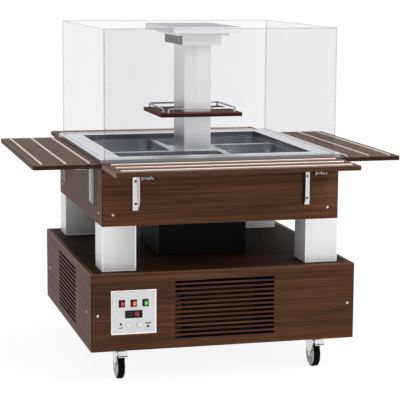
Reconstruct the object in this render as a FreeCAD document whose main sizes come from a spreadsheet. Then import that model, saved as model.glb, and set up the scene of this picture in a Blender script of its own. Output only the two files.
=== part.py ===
import FreeCAD, Part
import math
import os
import re

import Sketcher

# Mobile salad bar: a square refrigerated island on four castors.
# Millimetres.  Origin on the floor under the centre, +Z up, front towards -Y, left towards -X.

Vector = FreeCAD.Vector
Rotation = FreeCAD.Rotation
Placement = FreeCAD.Placement

doc = FreeCAD.newDocument("SaladBar")
sheet = doc.addObject("Spreadsheet::Sheet", "Sizes")

SIZES = [
    # cabinets
    ("base_ledge", 60, "base proud of the upper cabinet on every side"),
    ("base_height", 333, "boards of the base"),
    ("post_height", 192, "open storage space between base and upper cabinet"),
    ("cabinet_height", 282, "boards of the upper cabinet"),
    ("board_thickness", 18, "walnut boards of both cabinets"),
    ("sheet_thickness", 2, "folded steel sheet"),
    ("joint_gap", 0.3, "gap between two pieces that move or lift apart"),
    ("deck_thickness", 18, "storage deck inside the base boards"),
    ("rail_section", 20, "square tube of the base frame"),
    ("floor_thickness", 3, "floor of the upper cabinet"),
    ("post_side", 147, "corner posts, square"),
    ("core_side", 404, "central core between base and cabinet"),
    # louvres
    ("louvre_width", 441, "length of a louvre slot"),
    ("louvre_height", 11.5, "height of a louvre slot"),
    ("louvre_pitch", 20, "distance between slots"),
    ("louvre_count", 13, "slots in a field"),
    ("louvre_rise", 41, "lowest slot above the lower edge of the base"),
    # worktop frame and cold well
    ("pan_play", 2.5, "play between the pan rims and the frame"),
    ("frame_land", 100, "width of the worktop frame"),
    ("frame_overhang", 5, "worktop frame proud of the cabinet boards"),
    ("frame_height", 16, "height of the frame's outer face"),
    ("ledge_drop", 24, "depth of the pan ledge below the worktop"),
    ("ledge_width", 14, "ledge that carries the pan rims"),
    ("well_depth", 190, "depth of the well below the ledge"),
    # pans
    ("pan_length", 530, "standard full pan, rim length"),
    ("pan_width", 325, "standard full pan, rim width"),
    ("pan_depth", 100, "depth of a pan"),
    ("pan_rim", 14, "width of the pan rim"),
    ("rim_corner", 12, "corner radius of a pan rim"),
    ("pan_sheet", 1.5, "pan wall"),
    ("pan_corner", 40, "corner radius of a pan body"),
    ("pan_bottom", 14, "radius along the bottom of a pan"),
    ("bar_width", 16, "divider bar under two neighbouring rims"),
    ("bar_height", 10, "divider bar"),
    # lift column
    ("column_width", 124, "fixed column, across"),
    ("column_play", 4.5, "gap between the fixed column and the pans beside it"),
    ("column_wall", 2.5, "wall of both columns"),
    ("slide_gap", 0.6, "running gap between the two columns"),
    ("inner_rise", 89, "foot of the sliding column above the foot of the fixed one"),
    ("gearbox_width", 70, "lift gearbox, across"),
    ("gearbox_height", 28, "lift gearbox"),
    ("gearbox_play", 16, "gap between gearbox and sliding column's line"),
    ("actuator_radius", 22, "tube of the lift actuator"),
    ("actuator_height", 510, "length of the actuator tube"),
    ("actuator_play", 28, "gap between the actuator tube and the sliding column"),
    ("rod_radius", 11, "rod of the lift actuator"),
    ("rod_clearance", 0.08, "running clearance round the rod"),
    ("rod_end_gap", 2, "gap under the end of the rod"),
    ("motor_radius", 27, "lift motor"),
    ("motor_height", 130, "lift motor"),
    ("motor_play", 23, "gap between the lift motor and the sliding column"),
    # head, canopy and dome
    ("dome_height", 546, "glass dome above the worktop"),
    ("dome_inset", 18, "glass from the edge of the worktop frame"),
    ("glass_thickness", 6, "glass panes"),
    ("head_width", 178, "head, across"),
    ("head_length", 337, "head, front to back"),
    ("head_height", 43, "head"),
    ("flange_width", 234, "flange on top of the head, across"),
    ("flange_length", 412, "flange, front to back"),
    ("flange_height", 14, "flange"),
    ("canopy_width", 314, "lamp box under the dome top, across"),
    ("canopy_length", 560, "lamp box, front to back"),
    ("canopy_height", 26, "lamp box"),
    ("lamp_recess", 5, "depth of the lamp recess in the underside of the lamp box"),
    ("lamp_border", 14, "border round the lamp recess"),
    # middle shelf
    ("shelf_rise", 154, "top of the middle shelf above the worktop"),
    ("shelf_width", 376, "middle shelf, across"),
    ("shelf_length", 366, "middle shelf, front to back"),
    ("shelf_thickness", 16, "middle shelf"),
    ("shelf_corner", 6, "corner radius of the middle shelf"),
    ("collar_width", 12, "collar that carries the shelf"),
    ("gallery_inset", 20, "gallery rail from the shelf's edge"),
    ("gallery_setback", 48, "front ends of the gallery rail from the front edge"),
    ("gallery_height", 19, "gallery rail above the shelf"),
    ("gallery_radius", 4, "gallery rod"),
    ("gallery_bend", 16, "bend of the gallery rod"),
    # folding trays
    ("tray_depth", 285, "folding tray, outward"),
    ("tray_thickness", 18, "folding tray"),
    ("tray_drop", 2, "top of a tray below the worktop frame"),
    ("tray_gap", 3, "gap between tray and cabinet"),
    ("tray_corner", 12, "outer corners of a tray"),
    ("strip_outer", 40, "outermost slide strip from the tray's outer edge"),
    ("strip_inner", 45, "innermost slide strip from the tray's inner edge"),
    ("strip_count", 3, "slide strips on a tray"),
    ("strip_width", 7, "slide strip"),
    ("strip_height", 6, "slide strip above the tray"),
    ("strip_round", 2.2, "rounding of a slide strip's upper edges"),
    ("strip_inset", 30, "ends of a strip from the ends of the tray"),
    # folding brackets
    ("bracket_offset", 380, "brackets from the middle of a side"),
    ("leg_width", 26, "wall leg, across"),
    ("leg_height", 175.5, "wall leg below the tray pivot"),
    ("leg_sheet", 3, "sheet of legs and arms"),
    ("leg_hole_radius", 3.5, "fixing hole of a leg"),
    ("leg_hole_low", 28, "lower fixing hole above the foot of the leg"),
    ("leg_hole_high", 124, "upper fixing hole above the foot of the leg"),
    ("pivot_out", 19, "tray pivot from the cabinet's face"),
    ("eye_radius", 6, "rounded top of a wall leg round the pivot"),
    ("eye_gap", 0.5, "gap between the rounded top and the tray"),
    ("pin_radius", 3, "hinge pin"),
    ("pin_clearance", 0.08, "running clearance of pins and axles"),
    ("arm_length", 215, "arm from its pivot to its free end"),
    ("arm_flange", 22, "flange of an arm under the tray"),
    ("arm_flange_inset", 20, "free end of the flange from the end of the arm"),
    ("arm_flange_sheet", 1.5, "flange of an arm"),
    ("arm_hole_radius", 4, "hole in the free end of an arm"),
    ("arm_depth", 16, "lower edge of an arm's belly below its pivot"),
    ("belly_near", 16, "near end of the belly from the pivot"),
    ("belly_far", 56, "far end of the belly from the pivot"),
    # castors
    ("castor_inset", 143, "swivel axis from the faces of the base"),
    ("wheel_radius", 60, "castor wheel"),
    ("wheel_width", 30, "castor tyre"),
    ("tyre_round", 7, "shoulder of the tyre"),
    ("tyre_ease", 2, "easing of the shoulder at either end"),
    ("hub_radius", 52, "light disc in the side of the wheel"),
    ("hub_rim", 6, "raised rim of the disc"),
    ("hub_web", 10, "thickness of the disc between boss and rim"),
    ("hub_slope", 4, "sloping step of the disc"),
    ("hub_boss", 12, "boss of the disc, radius"),
    ("hub_proud", 1.5, "disc proud of the tyre"),
    ("axle_radius", 6, "castor axle"),
    ("axle_proud", 3, "axle end proud of the fork"),
    ("fork_gap", 0.5, "gap between hub and fork"),
    ("fork_sheet", 3, "fork cheeks"),
    ("fork_length", 60, "fork crown, front to back"),
    ("fork_shoulder", 9, "straight edge of a cheek below the crown"),
    ("axle_lug", 12, "cheek round the axle, radius"),
    ("crown_gap", 8, "fork crown above the wheel"),
    ("castor_trail", 30, "wheel axis from the swivel axis"),
    ("castor_plate_side", 92, "castor top plate"),
    ("castor_plate_height", 4, "castor top plate"),
    ("race_height", 16.7, "swivel race"),
    ("race_radius", 28, "swivel race"),
    ("kingpin_radius", 7, "swivel pin"),
    ("kingpin_length", 6, "swivel pin below the top of the crown"),
    ("pedal_width", 40, "brake pedal"),
    ("pedal_sheet", 3, "brake pedal"),
    ("pedal_reach", 36, "tread of the brake pedal from its pin"),
    ("pedal_rise", 16, "upper edge of the tread above the pin"),
    ("pedal_drop", 6, "foot of the tread below the pin"),
    ("pedal_lip", 6, "lip at the foot of the tread, outward"),
    ("pedal_boss", 6, "boss of the brake pedal round its pin, radius"),
    ("pedal_setback", 46, "pedal pin from the wheel's axis, outward"),
    # control panel
    ("control_left", 85, "control plate from the base's left edge"),
    ("control_width", 196, "control plate"),
    ("control_height", 190, "control plate"),
    ("control_rise", 72, "control plate above the lower edge of the base"),
    ("control_sheet", 3, "control plate"),
    ("control_edge", 1.5, "rounding of the control plate's edge"),
    ("control_lap", 8, "control plate laps over its cut-out"),
    ("frame_lap", 1, "switch frames lap over their cut-outs"),
    ("rocker_pitch", 51, "distance between rocker switches"),
    ("rocker_drop", 57, "rocker centres below the top of the plate"),
    ("rocker_width", 22, "rocker"),
    ("rocker_height", 26, "rocker"),
    ("rocker_thickness", 5.2, "rocker from its axis to its faces"),
    ("rocker_dish", 2.6, "rocker face at its middle"),
    ("rocker_tilt", 8, "rocker tilted by this many degrees to each side"),
    ("bezel_wall", 2.2, "frame round a rocker"),
    ("bezel_proud", 2.5, "frames proud of the plate"),
    ("switch_gap", 0.5, "gap round a moving key"),
    ("switch_depth", 24, "switch bodies behind the face of the plate"),
    ("switch_back", 2, "back wall of a switch body"),
    ("thermostat_width", 74, "thermostat bezel"),
    ("thermostat_height", 32, "thermostat bezel"),
    ("thermostat_proud", 4, "thermostat bezel proud of the plate"),
    ("thermostat_depth", 60, "thermostat body behind the plate"),
    ("thermostat_drop", 104, "thermostat centre below the top of the plate"),
    ("window_border", 6, "border of the thermostat window"),
    ("window_depth", 1, "thermostat window behind its bezel"),
    ("button_pitch", 49, "distance between the push buttons"),
    ("button_drop", 151, "button centres below the top of the plate"),
    ("button_radius", 10, "push button"),
    ("button_proud", 5, "push button proud of the plate"),
    ("button_tail", 8, "push button behind the face of the plate"),
    ("button_round", 1.5, "chamfer of a push button"),
    ("collar_lip", 2.5, "lip of a push button's collar"),
    # refrigeration
    ("compressor_radius", 85, "compressor shell"),
    ("compressor_height", 175, "compressor shell"),
    ("compressor_dome", 45, "domed top of the compressor shell"),
    ("compressor_crown", 50, "radius of the flat crown of the compressor shell"),
    ("compressor_foot", 98, "compressor base plate, radius"),
    ("compressor_foot_height", 6, "compressor base plate"),
    ("compressor_left", 146, "compressor to the left of the centre"),
    ("compressor_behind", 146, "compressor behind the centre"),
    ("condenser_setback", 110, "condenser's middle from the front face of the base"),
    ("condenser_width", 300, "condenser"),
    ("condenser_height", 240, "condenser"),
    ("condenser_thickness", 60, "condenser"),
    ("shroud_rim", 14, "shroud beside its round mouth"),
    ("shroud_depth", 48, "fan shroud"),
    ("fan_clearance", 6, "fan tip to shroud"),
    ("fan_hub_radius", 24, "condenser fan hub"),
    ("fan_hub_length", 24, "condenser fan hub"),
    ("fan_shaft_radius", 4, "fan motor shaft"),
    ("fan_shaft_end", 8, "shaft beyond the hub"),
    ("fan_blades", 5, "condenser fan blades"),
    ("fan_motor_radius", 34, "fan motor"),
    ("fan_motor_length", 48, "fan motor"),
    ("fan_motor_gap", 10, "fan motor behind the shroud"),
    ("motor_strut", 20, "width of the fan motor's stand"),
    ("motor_strut_sheet", 8, "thickness of the fan motor's stand"),
]

# Sizes that follow from the ones above, each a formula over names of this file.
DERIVED = {
    "race_top": "2*wheel_radius + crown_gap + joint_gap + race_height",
    "fork_crown": "2*wheel_radius + crown_gap",
    "base_bottom": "race_top + castor_plate_height",
    "base_top": "base_bottom + base_height",
    "cabinet_bottom": "base_top + post_height",
    "cabinet_top": "cabinet_bottom + cabinet_height",
    "column_foot": "cabinet_bottom + floor_thickness",
    "frame_top": "cabinet_top + sheet_thickness",
    "ledge_top": "frame_top - ledge_drop",
    "opening_side": "pan_length + pan_width + 2*pan_play",
    "frame_side": "opening_side + 2*frame_land",
    "cabinet_side": "frame_side - 2*frame_overhang",
    "base_side": "cabinet_side + 2*base_ledge",
    "base_inner": "base_side - 2*board_thickness",
    "well_side": "opening_side - 2*ledge_width",
    "ring_half": "(pan_length - pan_width)/2",
    "column_length": "pan_length - pan_width - 2*column_play",
    "slide_width": "column_width - 2*column_wall - 2*slide_gap",
    "slide_length": "column_length - 2*column_wall - 2*slide_gap",
    "actuator_y": "slide_length/2 - column_wall - actuator_radius - actuator_play",
    "motor_y": "motor_radius + motor_play + column_wall - slide_length/2",
    "rod_foot": "column_foot + gearbox_height + rod_end_gap",
    "dome_side": "frame_side - 2*dome_inset",
    "dome_top": "frame_top + dome_height",
    "glass_under": "dome_top - glass_thickness",
    "canopy_bottom": "glass_under - canopy_height",
    "head_bottom": "canopy_bottom - flange_height - head_height",
    "shelf_top": "frame_top + shelf_rise",
    "tray_top": "frame_top - frame_height - tray_drop",
    "tray_under": "tray_top - tray_thickness",
    "tray_inner": "cabinet_side/2 + tray_gap",
    "tray_outer": "tray_inner + tray_depth",
    "strip_pitch": "(tray_depth - strip_outer - strip_inner)/(strip_count - 1)",
    "pivot_drop": "eye_radius + eye_gap",
    "pivot_z": "tray_under - pivot_drop",
    "pivot_y": "cabinet_side/2 + pivot_out",
    "leg_reach": "pivot_out + eye_radius",
    "leg_bottom": "pivot_z - leg_height",
    "arm_end_y": "pivot_y + arm_length - pivot_drop",
    "castor_offset": "base_side/2 - castor_inset",
    "cheek_inner": "wheel_width/2 + hub_proud + fork_gap",
    "cheek_outer": "cheek_inner + fork_sheet",
    "pedal_y": "castor_trail + pedal_setback",
    "pedal_z": "fork_crown - pedal_boss",
    "board_face": "-base_side/2",
    "plate_face": "board_face - control_sheet",
    "control_middle": "control_left + control_width/2 - base_side/2",
    "control_bottom": "base_bottom + control_rise",
    "control_top": "control_bottom + control_height",
    "control_centre": "control_bottom + control_height/2",
    "rocker_z": "control_top - rocker_drop",
    "rocker_y": "plate_face - bezel_proud/2",
    "thermostat_z": "control_top - thermostat_drop",
    "button_z": "control_top - button_drop",
    "key_width": "rocker_width + 2*switch_gap",
    "key_height": "rocker_height + 2*switch_gap",
    "bezel_width": "key_width + 2*bezel_wall",
    "bezel_height": "key_height + 2*bezel_wall",
    "button_bore": "button_radius + switch_gap",
    "chassis_floor": "base_bottom + sheet_thickness",
    "condenser_y": "board_face + condenser_setback",
    "shroud_y": "condenser_y + condenser_thickness/2",
    "mouth_radius": "condenser_height/2 - shroud_rim",
    "fan_radius": "mouth_radius - fan_clearance",
    "fan_y": "shroud_y + shroud_depth/2",
    "fan_z": "chassis_floor + condenser_height/2",
    "fan_motor_y": "shroud_y + shroud_depth + fan_motor_gap",
}

ALIASES = {alias for alias, _, _ in SIZES}


def fill_sheet():
    """Write every driving size with its alias and its meaning."""
    for row, (alias, number, meaning) in enumerate(SIZES, start=1):
        sheet.set(f"A{row}", alias)
        sheet.set(f"B{row}", str(number))
        sheet.set(f"C{row}", meaning)
        sheet.setAlias(f"B{row}", alias)
    doc.recompute()


fill_sheet()
CALCULATOR = doc.addObject("App::FeaturePython", "Calculator")


def spelled(text):
    """A size text with every derived size written out and every alias as a cell of the sheet."""
    def word(match):
        name = match.group()
        if name in DERIVED:
            return f"({spelled(DERIVED[name])})"
        return f"Sizes.{name}" if name in ALIASES else name
    return re.sub(r"[a-z_]+", word, str(text))


def value(text):
    """The number that a size text stands for now."""
    return float(CALCULATOR.evalExpression(spelled(text)))


def bind(thing, field, text):
    """Tie one property to the sheet."""
    thing.setExpression(field, spelled(text))


def place(thing, spot, turn=None):
    """Put a piece at three size texts, turned by a fixed rotation."""
    thing.Placement = Placement(Vector(*[value(text) for text in spot]), turn or Rotation())
    for axis, text in zip("xyz", spot):
        bind(thing, f"Placement.Base.{axis}", text)
    return thing


# ---------------------------------------------------------------- simple solids

ABOUT_X = Rotation(Vector(0, 1, 0), 90)
ABOUT_Y = Rotation(Vector(1, 0, 0), -90)


def box(label, corner, size):
    """Block from its lowest corner."""
    block = doc.addObject("Part::Box", label)
    for field, text in zip(("Length", "Width", "Height"), size):
        bind(block, field, text)
    return place(block, corner)


def centred_box(label, bottom, size, middle=("0", "0")):
    """Block centred on a point in plan, standing on a height."""
    corner = (f"{middle[0]} - ({size[0]})/2", f"{middle[1]} - ({size[1]})/2", bottom)
    return box(label, corner, size)


def rod(label, start, radius, length, axis="Z"):
    """Round bar from its start along +X, +Y or +Z."""
    bar = doc.addObject("Part::Cylinder", label)
    bind(bar, "Radius", radius)
    bind(bar, "Height", length)
    return place(bar, start, {"X": ABOUT_X, "Y": ABOUT_Y, "Z": None}[axis])


def minus(label, base, *tools):
    """Base with every tool taken away."""
    for number, tool in enumerate(tools):
        last = number == len(tools) - 1
        result = doc.addObject("Part::Cut", label if last else f"{label}_step{number}")
        result.Base = base
        result.Tool = tool
        base = result
    return base


def fused(label, *pieces):
    """Pieces welded into one solid."""
    result = doc.addObject("Part::MultiFuse", label)
    result.Shapes = list(pieces)
    return result


def group(label, *pieces):
    """Separate solids kept as one sub-part."""
    result = doc.addObject("Part::Compound", label)
    result.Links = list(pieces)
    return result


# ---------------------------------------------------------------- bodies with sketches

def new_body(label):
    """Empty body."""
    return doc.addObject("PartDesign::Body", label)


def origin_item(body, role):
    """Origin plane or axis of a body."""
    return [item for item in body.Origin.OriginFeatures if item.Role == role][0]


def sketch_on(body, label, role, lift="0"):
    """Empty sketch on an origin plane of its body, lifted along the plane's normal."""
    sketch = body.newObject("Sketcher::SketchObject", label)
    sketch.AttachmentSupport = [(origin_item(body, role), "")]
    sketch.MapMode = "FlatFace"
    bind(sketch, "AttachmentOffset.Base.z", lift)
    return sketch


def pin_point(sketch, curve, end, spot):
    """Hold one point of a sketch at a pair of size texts."""
    for kind, text in zip(("DistanceX", "DistanceY"), spot):
        number = sketch.addConstraint(Sketcher.Constraint(kind, -1, 1, curve, end, value(text)))
        bind(sketch, f"Constraints[{number}]", text)


def draw_outline(sketch, points):
    """Closed outline of straight lines through pairs of size texts."""
    first = sketch.GeometryCount
    spots = [Vector(value(x), value(y), 0) for x, y in points]
    count = len(points)
    for i in range(count):
        sketch.addGeometry(Part.LineSegment(spots[i], spots[(i + 1) % count]))
    for i in range(count):
        sketch.addConstraint(Sketcher.Constraint("Coincident", first + i, 2, first + (i + 1) % count, 1))
    for i, point in enumerate(points):
        pin_point(sketch, first + i, 1, point)


def draw_circle(sketch, centre, radius):
    """Circle about a pair of size texts."""
    spot = Vector(value(centre[0]), value(centre[1]), 0)
    curve = sketch.addGeometry(Part.Circle(spot, Vector(0, 0, 1), value(radius)))
    number = sketch.addConstraint(Sketcher.Constraint("Radius", curve, value(radius)))
    bind(sketch, f"Constraints[{number}]", radius)
    pin_point(sketch, curve, 3, centre)


def rectangle(low, high):
    """Corners of a rectangle."""
    return [(low[0], low[1]), (high[0], low[1]), (high[0], high[1]), (low[0], high[1])]


def square_about(side):
    """Corners of a square centred on the origin."""
    half = f"({side})/2"
    return rectangle((f"-{half}", f"-{half}"), (half, half))


def pad(body, label, role, outlines=(), circles=(), length="1", lift="0", backwards=False):
    """Sketch on an origin plane, padded."""
    sketch = sketch_on(body, f"{label}_sketch", role, lift)
    for points in outlines:
        draw_outline(sketch, points)
    for centre, radius in circles:
        draw_circle(sketch, centre, radius)
    feature = body.newObject("PartDesign::Pad", label)
    feature.Profile = sketch
    feature.Reversed = backwards
    bind(feature, "Length", length)
    return feature


def pocket(body, label, role, outlines=(), circles=(), length="1", lift="0", backwards=False):
    """Sketch on an origin plane, cut out of the body; the cut has to remove something."""
    doc.recompute()
    before = body.Shape.Volume
    sketch = sketch_on(body, f"{label}_sketch", role, lift)
    for points in outlines:
        draw_outline(sketch, points)
    for centre, radius in circles:
        draw_circle(sketch, centre, radius)
    feature = body.newObject("PartDesign::Pocket", label)
    feature.Profile = sketch
    feature.Reversed = backwards
    bind(feature, "Length", length)
    doc.recompute()
    if body.Shape.Volume > before - 0.01:
        raise ValueError(f"{label} cuts nothing")
    return feature


def row_of(body, label, feature, axis_role, span, count):
    """Linear pattern of one feature over a span."""
    pattern = body.newObject("PartDesign::LinearPattern", label)
    pattern.Originals = [feature]
    pattern.Direction = (origin_item(body, axis_role), [""])
    bind(pattern, "Length", span)
    bind(pattern, "Occurrences", count)
    body.Tip = pattern
    return pattern


def rounded(body, label, radius, wanted):
    """Fillet of the edges that a test picks."""
    doc.recompute()
    edges = [f"Edge{i}" for i, edge in enumerate(body.Shape.Edges, start=1) if wanted(edge)]
    if not edges:
        raise ValueError(f"{label} finds no edge")
    shaped = body.Tip
    feature = body.newObject("PartDesign::Fillet", label)
    feature.Base = (shaped, edges)
    bind(feature, "Radius", radius)
    return feature


def upright(edge):
    """True for a straight vertical edge."""
    return edge.BoundBox.XLength < 1e-6 and edge.BoundBox.YLength < 1e-6


def corner_at(x, y):
    """Test for the four vertical edges at plus and minus a pair of size texts."""
    spot = (abs(value(x)), abs(value(y)))

    def wanted(edge):
        middle = edge.CenterOfMass
        return upright(edge) and abs(abs(middle.x) - spot[0]) < 0.01 and abs(abs(middle.y) - spot[1]) < 0.01
    return wanted


def level_at(z, x):
    """Test for edges that lie flat at a height, no farther out than a distance."""
    height, reach = value(z), value(x)

    def wanted(edge):
        box_ = edge.BoundBox
        flat = abs(box_.ZMin - height) < 0.01 and box_.ZLength < 0.01
        return flat and max(abs(box_.XMin), abs(box_.XMax)) < reach + 0.01
    return wanted


def turned(body, label, role, points, axis_role="Z_Axis"):
    """Outline turned about an axis of the body."""
    sketch = sketch_on(body, f"{label}_sketch", role)
    draw_outline(sketch, points)
    feature = body.newObject("PartDesign::Revolution", label)
    feature.Profile = sketch
    feature.ReferenceAxis = (origin_item(body, axis_role), [""])
    feature.Angle = 360
    return feature


# The four sides: name, turn about +Z from the front, and unit vector outwards.
SIDES = [("front", 0), ("right", 90), ("rear", 180), ("left", 270)]


def turned_copy(label, source, angle):
    """Copy of a piece turned about the vertical axis through the origin."""
    copy = doc.addObject("Part::Compound", label)
    copy.Links = [source]
    copy.Placement = Placement(Vector(), Rotation(Vector(0, 0, 1), angle))
    return copy


def moved_copy(label, source, spot):
    """Copy of a piece moved by three size texts."""
    copy = doc.addObject("Part::Compound", label)
    copy.Links = [source]
    return place(copy, spot)


NODES = {}


def keep(label, thing):
    """Register a finished sub-part under its own label."""
    thing.Label = label
    NODES[label] = thing
    return thing


# ---------------------------------------------------------------- base cabinet

def mitred_board(label, side, bottom, top):
    """Board along the front of a square cabinet, its ends cut at 45 degrees."""
    body = new_body(label)
    inner = f"({side}/2 - board_thickness)"
    corners = [(f"-{side}/2", f"-{side}/2"), (f"{side}/2", f"-{side}/2"), (inner, f"-{inner}"),
               (f"-{inner}", f"-{inner}")]
    pad(body, f"{label}_pad", "XY_Plane", [corners], length=f"{top} - {bottom}")
    return place(body, ("0", "0", bottom))


def add_louvres(body, label):
    """Field of horizontal slots through a base board."""
    slot = rectangle(("-louvre_width/2", "louvre_rise"), ("louvre_width/2", "louvre_rise + louvre_height"))
    first = pocket(body, f"{label}_slot", "XZ_Plane", [slot], length="board_thickness + 2",
                   lift="base_side/2 + 1")
    row_of(body, f"{label}_slots", first, "Z_Axis", "louvre_pitch*(louvre_count - 1)", "louvre_count")




def base_boards():
    """Front board with louvres and control cut-out, and three louvred boards."""
    front = mitred_board("FrontBoard", "base_side", "base_bottom", "base_top")
    low = ("control_middle - control_width/2 + control_lap", "control_rise + control_lap")
    high = ("control_middle + control_width/2 - control_lap", "control_rise + control_height - control_lap")
    pocket(front, "ControlCutOut", "XZ_Plane", [rectangle(low, high)], length="board_thickness + 2",
           lift="base_side/2 + 1")
    add_louvres(front, "FrontLouvre")
    keep("base_front_panel", front)
    side = mitred_board("LouvredBoard", "base_side", "base_bottom", "base_top")
    add_louvres(side, "SideLouvre")
    copies = [turned_copy(f"LouvredBoard_{name}", side, angle) for name, angle in SIDES[1:]]
    keep("base_louvred_panels", group("LouvredBoards", *copies))


def base_chassis():
    """Frame inside the base: floor sheet, corner uprights, top and bottom rails."""
    pieces = [centred_box("ChassisFloor", "base_bottom", ("base_inner", "base_inner", "sheet_thickness"))]
    upright_height = "base_height - deck_thickness - sheet_thickness"
    offset = "(base_inner - rail_section)/2"
    rail = ("base_inner - 2*rail_section", "rail_section", "rail_section")
    for name, angle in SIDES:
        spot = (f"-{offset}", f"-{offset}")
        post = centred_box(f"Upright_{name}", "chassis_floor",
                           ("rail_section", "rail_section", upright_height), spot)
        low = centred_box(f"LowRail_{name}", "chassis_floor", rail, ("0", f"-{offset}"))
        high = centred_box(f"HighRail_{name}", "base_top - deck_thickness - rail_section", rail,
                           ("0", f"-{offset}"))
        pieces += [turned_copy(f"Turned_{piece.Name}", piece, angle) for piece in (post, low, high)]
    keep("base_chassis", group("Chassis", *pieces))


def base_deck():
    """Storage deck, flush with the boards' upper edges."""
    body = new_body("Deck")
    pad(body, "DeckPad", "XY_Plane", [square_about("base_inner")], length="deck_thickness")
    keep("base_deck", place(body, ("0", "0", "base_top - deck_thickness")))


# ---------------------------------------------------------------- posts and core

def corner_posts():
    """Four square posts of folded sheet between base and cabinet."""
    posts = []
    offset = "(cabinet_side - post_side)/2"
    inner = "post_side - 2*sheet_thickness"
    outer = centred_box("PostOuter", "base_top", ("post_side", "post_side", "post_height"),
                        (f"-{offset}", f"-{offset}"))
    bore = centred_box("PostBore", "base_top - 1", (inner, inner, "post_height + 2"),
                       (f"-{offset}", f"-{offset}"))
    post = minus("Post", outer, bore)
    for name, angle in SIDES:
        posts.append(turned_copy(f"Post_{name}", post, angle))
    keep("corner_posts", group("Posts", *posts))


def central_core():
    """Black sheet-metal duct that carries pipes and wiring up to the well."""
    outer = centred_box("CoreOuter", "base_top", ("core_side", "core_side", "post_height"))
    inner = "core_side - 2*sheet_thickness"
    bore = centred_box("CoreBore", "base_top - 1", (inner, inner, "post_height + 2"))
    keep("central_core", minus("Core", outer, bore))


# ---------------------------------------------------------------- upper cabinet

def cabinet_boards():
    """Four plain mitred boards round the well."""
    front = mitred_board("CabinetFront", "cabinet_side", "cabinet_bottom", "cabinet_top")
    keep("upper_front_panel", front)
    copies = [turned_copy(f"CabinetBoard_{name}", front, angle) for name, angle in SIDES[1:]]
    keep("upper_plain_panels", group("CabinetBoards", *copies))


def cabinet_floor():
    """Steel floor of the upper cabinet, standing on posts and core."""
    body = new_body("CabinetFloor")
    pad(body, "FloorPad", "XY_Plane", [square_about("cabinet_side - 2*board_thickness")],
        length="floor_thickness")
    keep("cabinet_floor", place(body, ("0", "0", "cabinet_bottom")))




def worktop_frame():
    """Folded ring: outer skirt, flat top and inner fold down to the ledge."""
    body = new_body("WorktopFrame")
    pad(body, "FramePad", "XY_Plane", [square_about("frame_side"), square_about("opening_side")],
        length="frame_height", backwards=True)
    channel = [square_about("frame_side - 2*sheet_thickness"),
               square_about("opening_side + 2*sheet_thickness")]
    pocket(body, "FrameChannel", "XY_Plane", channel, length="frame_height", lift="-sheet_thickness")
    fold = [square_about("opening_side + 2*sheet_thickness"), square_about("opening_side")]
    pad(body, "InnerFold", "XY_Plane", fold, length="ledge_drop", backwards=True)
    keep("worktop_frame", place(body, ("0", "0", "frame_top")))


def well_tub():
    """Tub with the ledge that carries the pans."""
    body = new_body("WellTub")
    outer = "well_side + 2*sheet_thickness"
    pad(body, "TubLedge", "XY_Plane",
        [square_about("opening_side + 2*sheet_thickness"), square_about("well_side")],
        length="sheet_thickness", backwards=True)
    pad(body, "TubWalls", "XY_Plane", [square_about(outer), square_about("well_side")], length="well_depth",
        backwards=True)
    pad(body, "TubFloor", "XY_Plane", [square_about(outer)], length="sheet_thickness", lift="-well_depth")
    hole = rectangle(("-column_width/2", "-column_length/2"), ("column_width/2", "column_length/2"))
    pocket(body, "TubColumnHole", "XY_Plane", [hole], length="well_depth + 1", lift="1")
    keep("well_tub", place(body, ("0", "0", "ledge_top")))




def divider_bars():
    """Plate round the column and four bars under the joints of the pans."""
    bottom = "ledge_top - bar_height"
    rim_seat = "(pan_rim - pan_play/2)"
    side = f"2*ring_half + 2*{rim_seat} - 2"
    plate = centred_box("RingPlate", bottom, (side, side, "bar_height"))
    hole = centred_box("RingHole", f"{bottom} - 1", ("column_width", "column_length", "bar_height + 2"))
    pieces = [minus("Ring", plate, hole)]
    plate_half = f"(ring_half + {rim_seat} - 1)"
    bar = box("DividerBar", ("ring_half - bar_width/2", "-well_side/2", bottom),
              ("bar_width", f"well_side/2 - {plate_half}", "bar_height"))
    pieces += [turned_copy(f"DividerBar_{name}", bar, angle) for name, angle in SIDES]
    keep("pan_divider_bars", group("DividerBars", *pieces))


def pan_block(label, half, depth, inset, top):
    """Downward block with the rounding of a pan, inset by a wall."""
    body = new_body(label)
    size = [f"({side} - {inset})" for side in half]
    outline = rectangle((f"-{size[0]}", f"-{size[1]}"), size)
    pad(body, f"{label}_pad", "XY_Plane", [outline], length=f"{depth} + {top}", lift=top, backwards=True)
    rounded(body, f"{label}_corners", f"pan_corner - {inset}", corner_at(*size))
    rounded(body, f"{label}_bottom", f"pan_bottom - {inset}", level_at(f"-({depth})", size[0]))
    return body


def pan(label, length, width, middle):
    """Standard food pan: flat rim and a deep body, rounded in plan and along its bottom."""
    half = (f"(({length} - joint_gap)/2)", f"(({width} - joint_gap)/2)")
    rim = new_body(f"{label}_rim")
    outline = rectangle((f"-{half[0]}", f"-{half[1]}"), half)
    pad(rim, f"{label}_rim_pad", "XY_Plane", [outline], length="pan_sheet")
    rounded(rim, f"{label}_rim_corners", "rim_corner", corner_at(*half))
    block_half = [f"({side} - pan_rim)" for side in half]
    block = pan_block(f"{label}_block", block_half, "pan_depth", "0", "0")
    hollow = pan_block(f"{label}_hollow", block_half, "pan_depth - pan_sheet", "pan_sheet", "2*pan_sheet")
    shell = minus(f"{label}_shell", fused(f"{label}_solid", rim, block), hollow)
    keep(label, place(shell, (*middle, "ledge_top + joint_gap")))


def food_pans():
    """Four full pans laid like a pinwheel round the column."""
    near = "(pan_length/2)"
    far = "(pan_width/2)"
    pan("pan_rear_left", "pan_width", "pan_length", (f"-{near}", f"{far}"))
    pan("pan_rear_right", "pan_length", "pan_width", (f"{far}", f"{near}"))
    pan("pan_front_right", "pan_width", "pan_length", (f"{near}", f"-{far}"))
    pan("pan_front_left", "pan_length", "pan_width", (f"-{far}", f"-{near}"))


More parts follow.
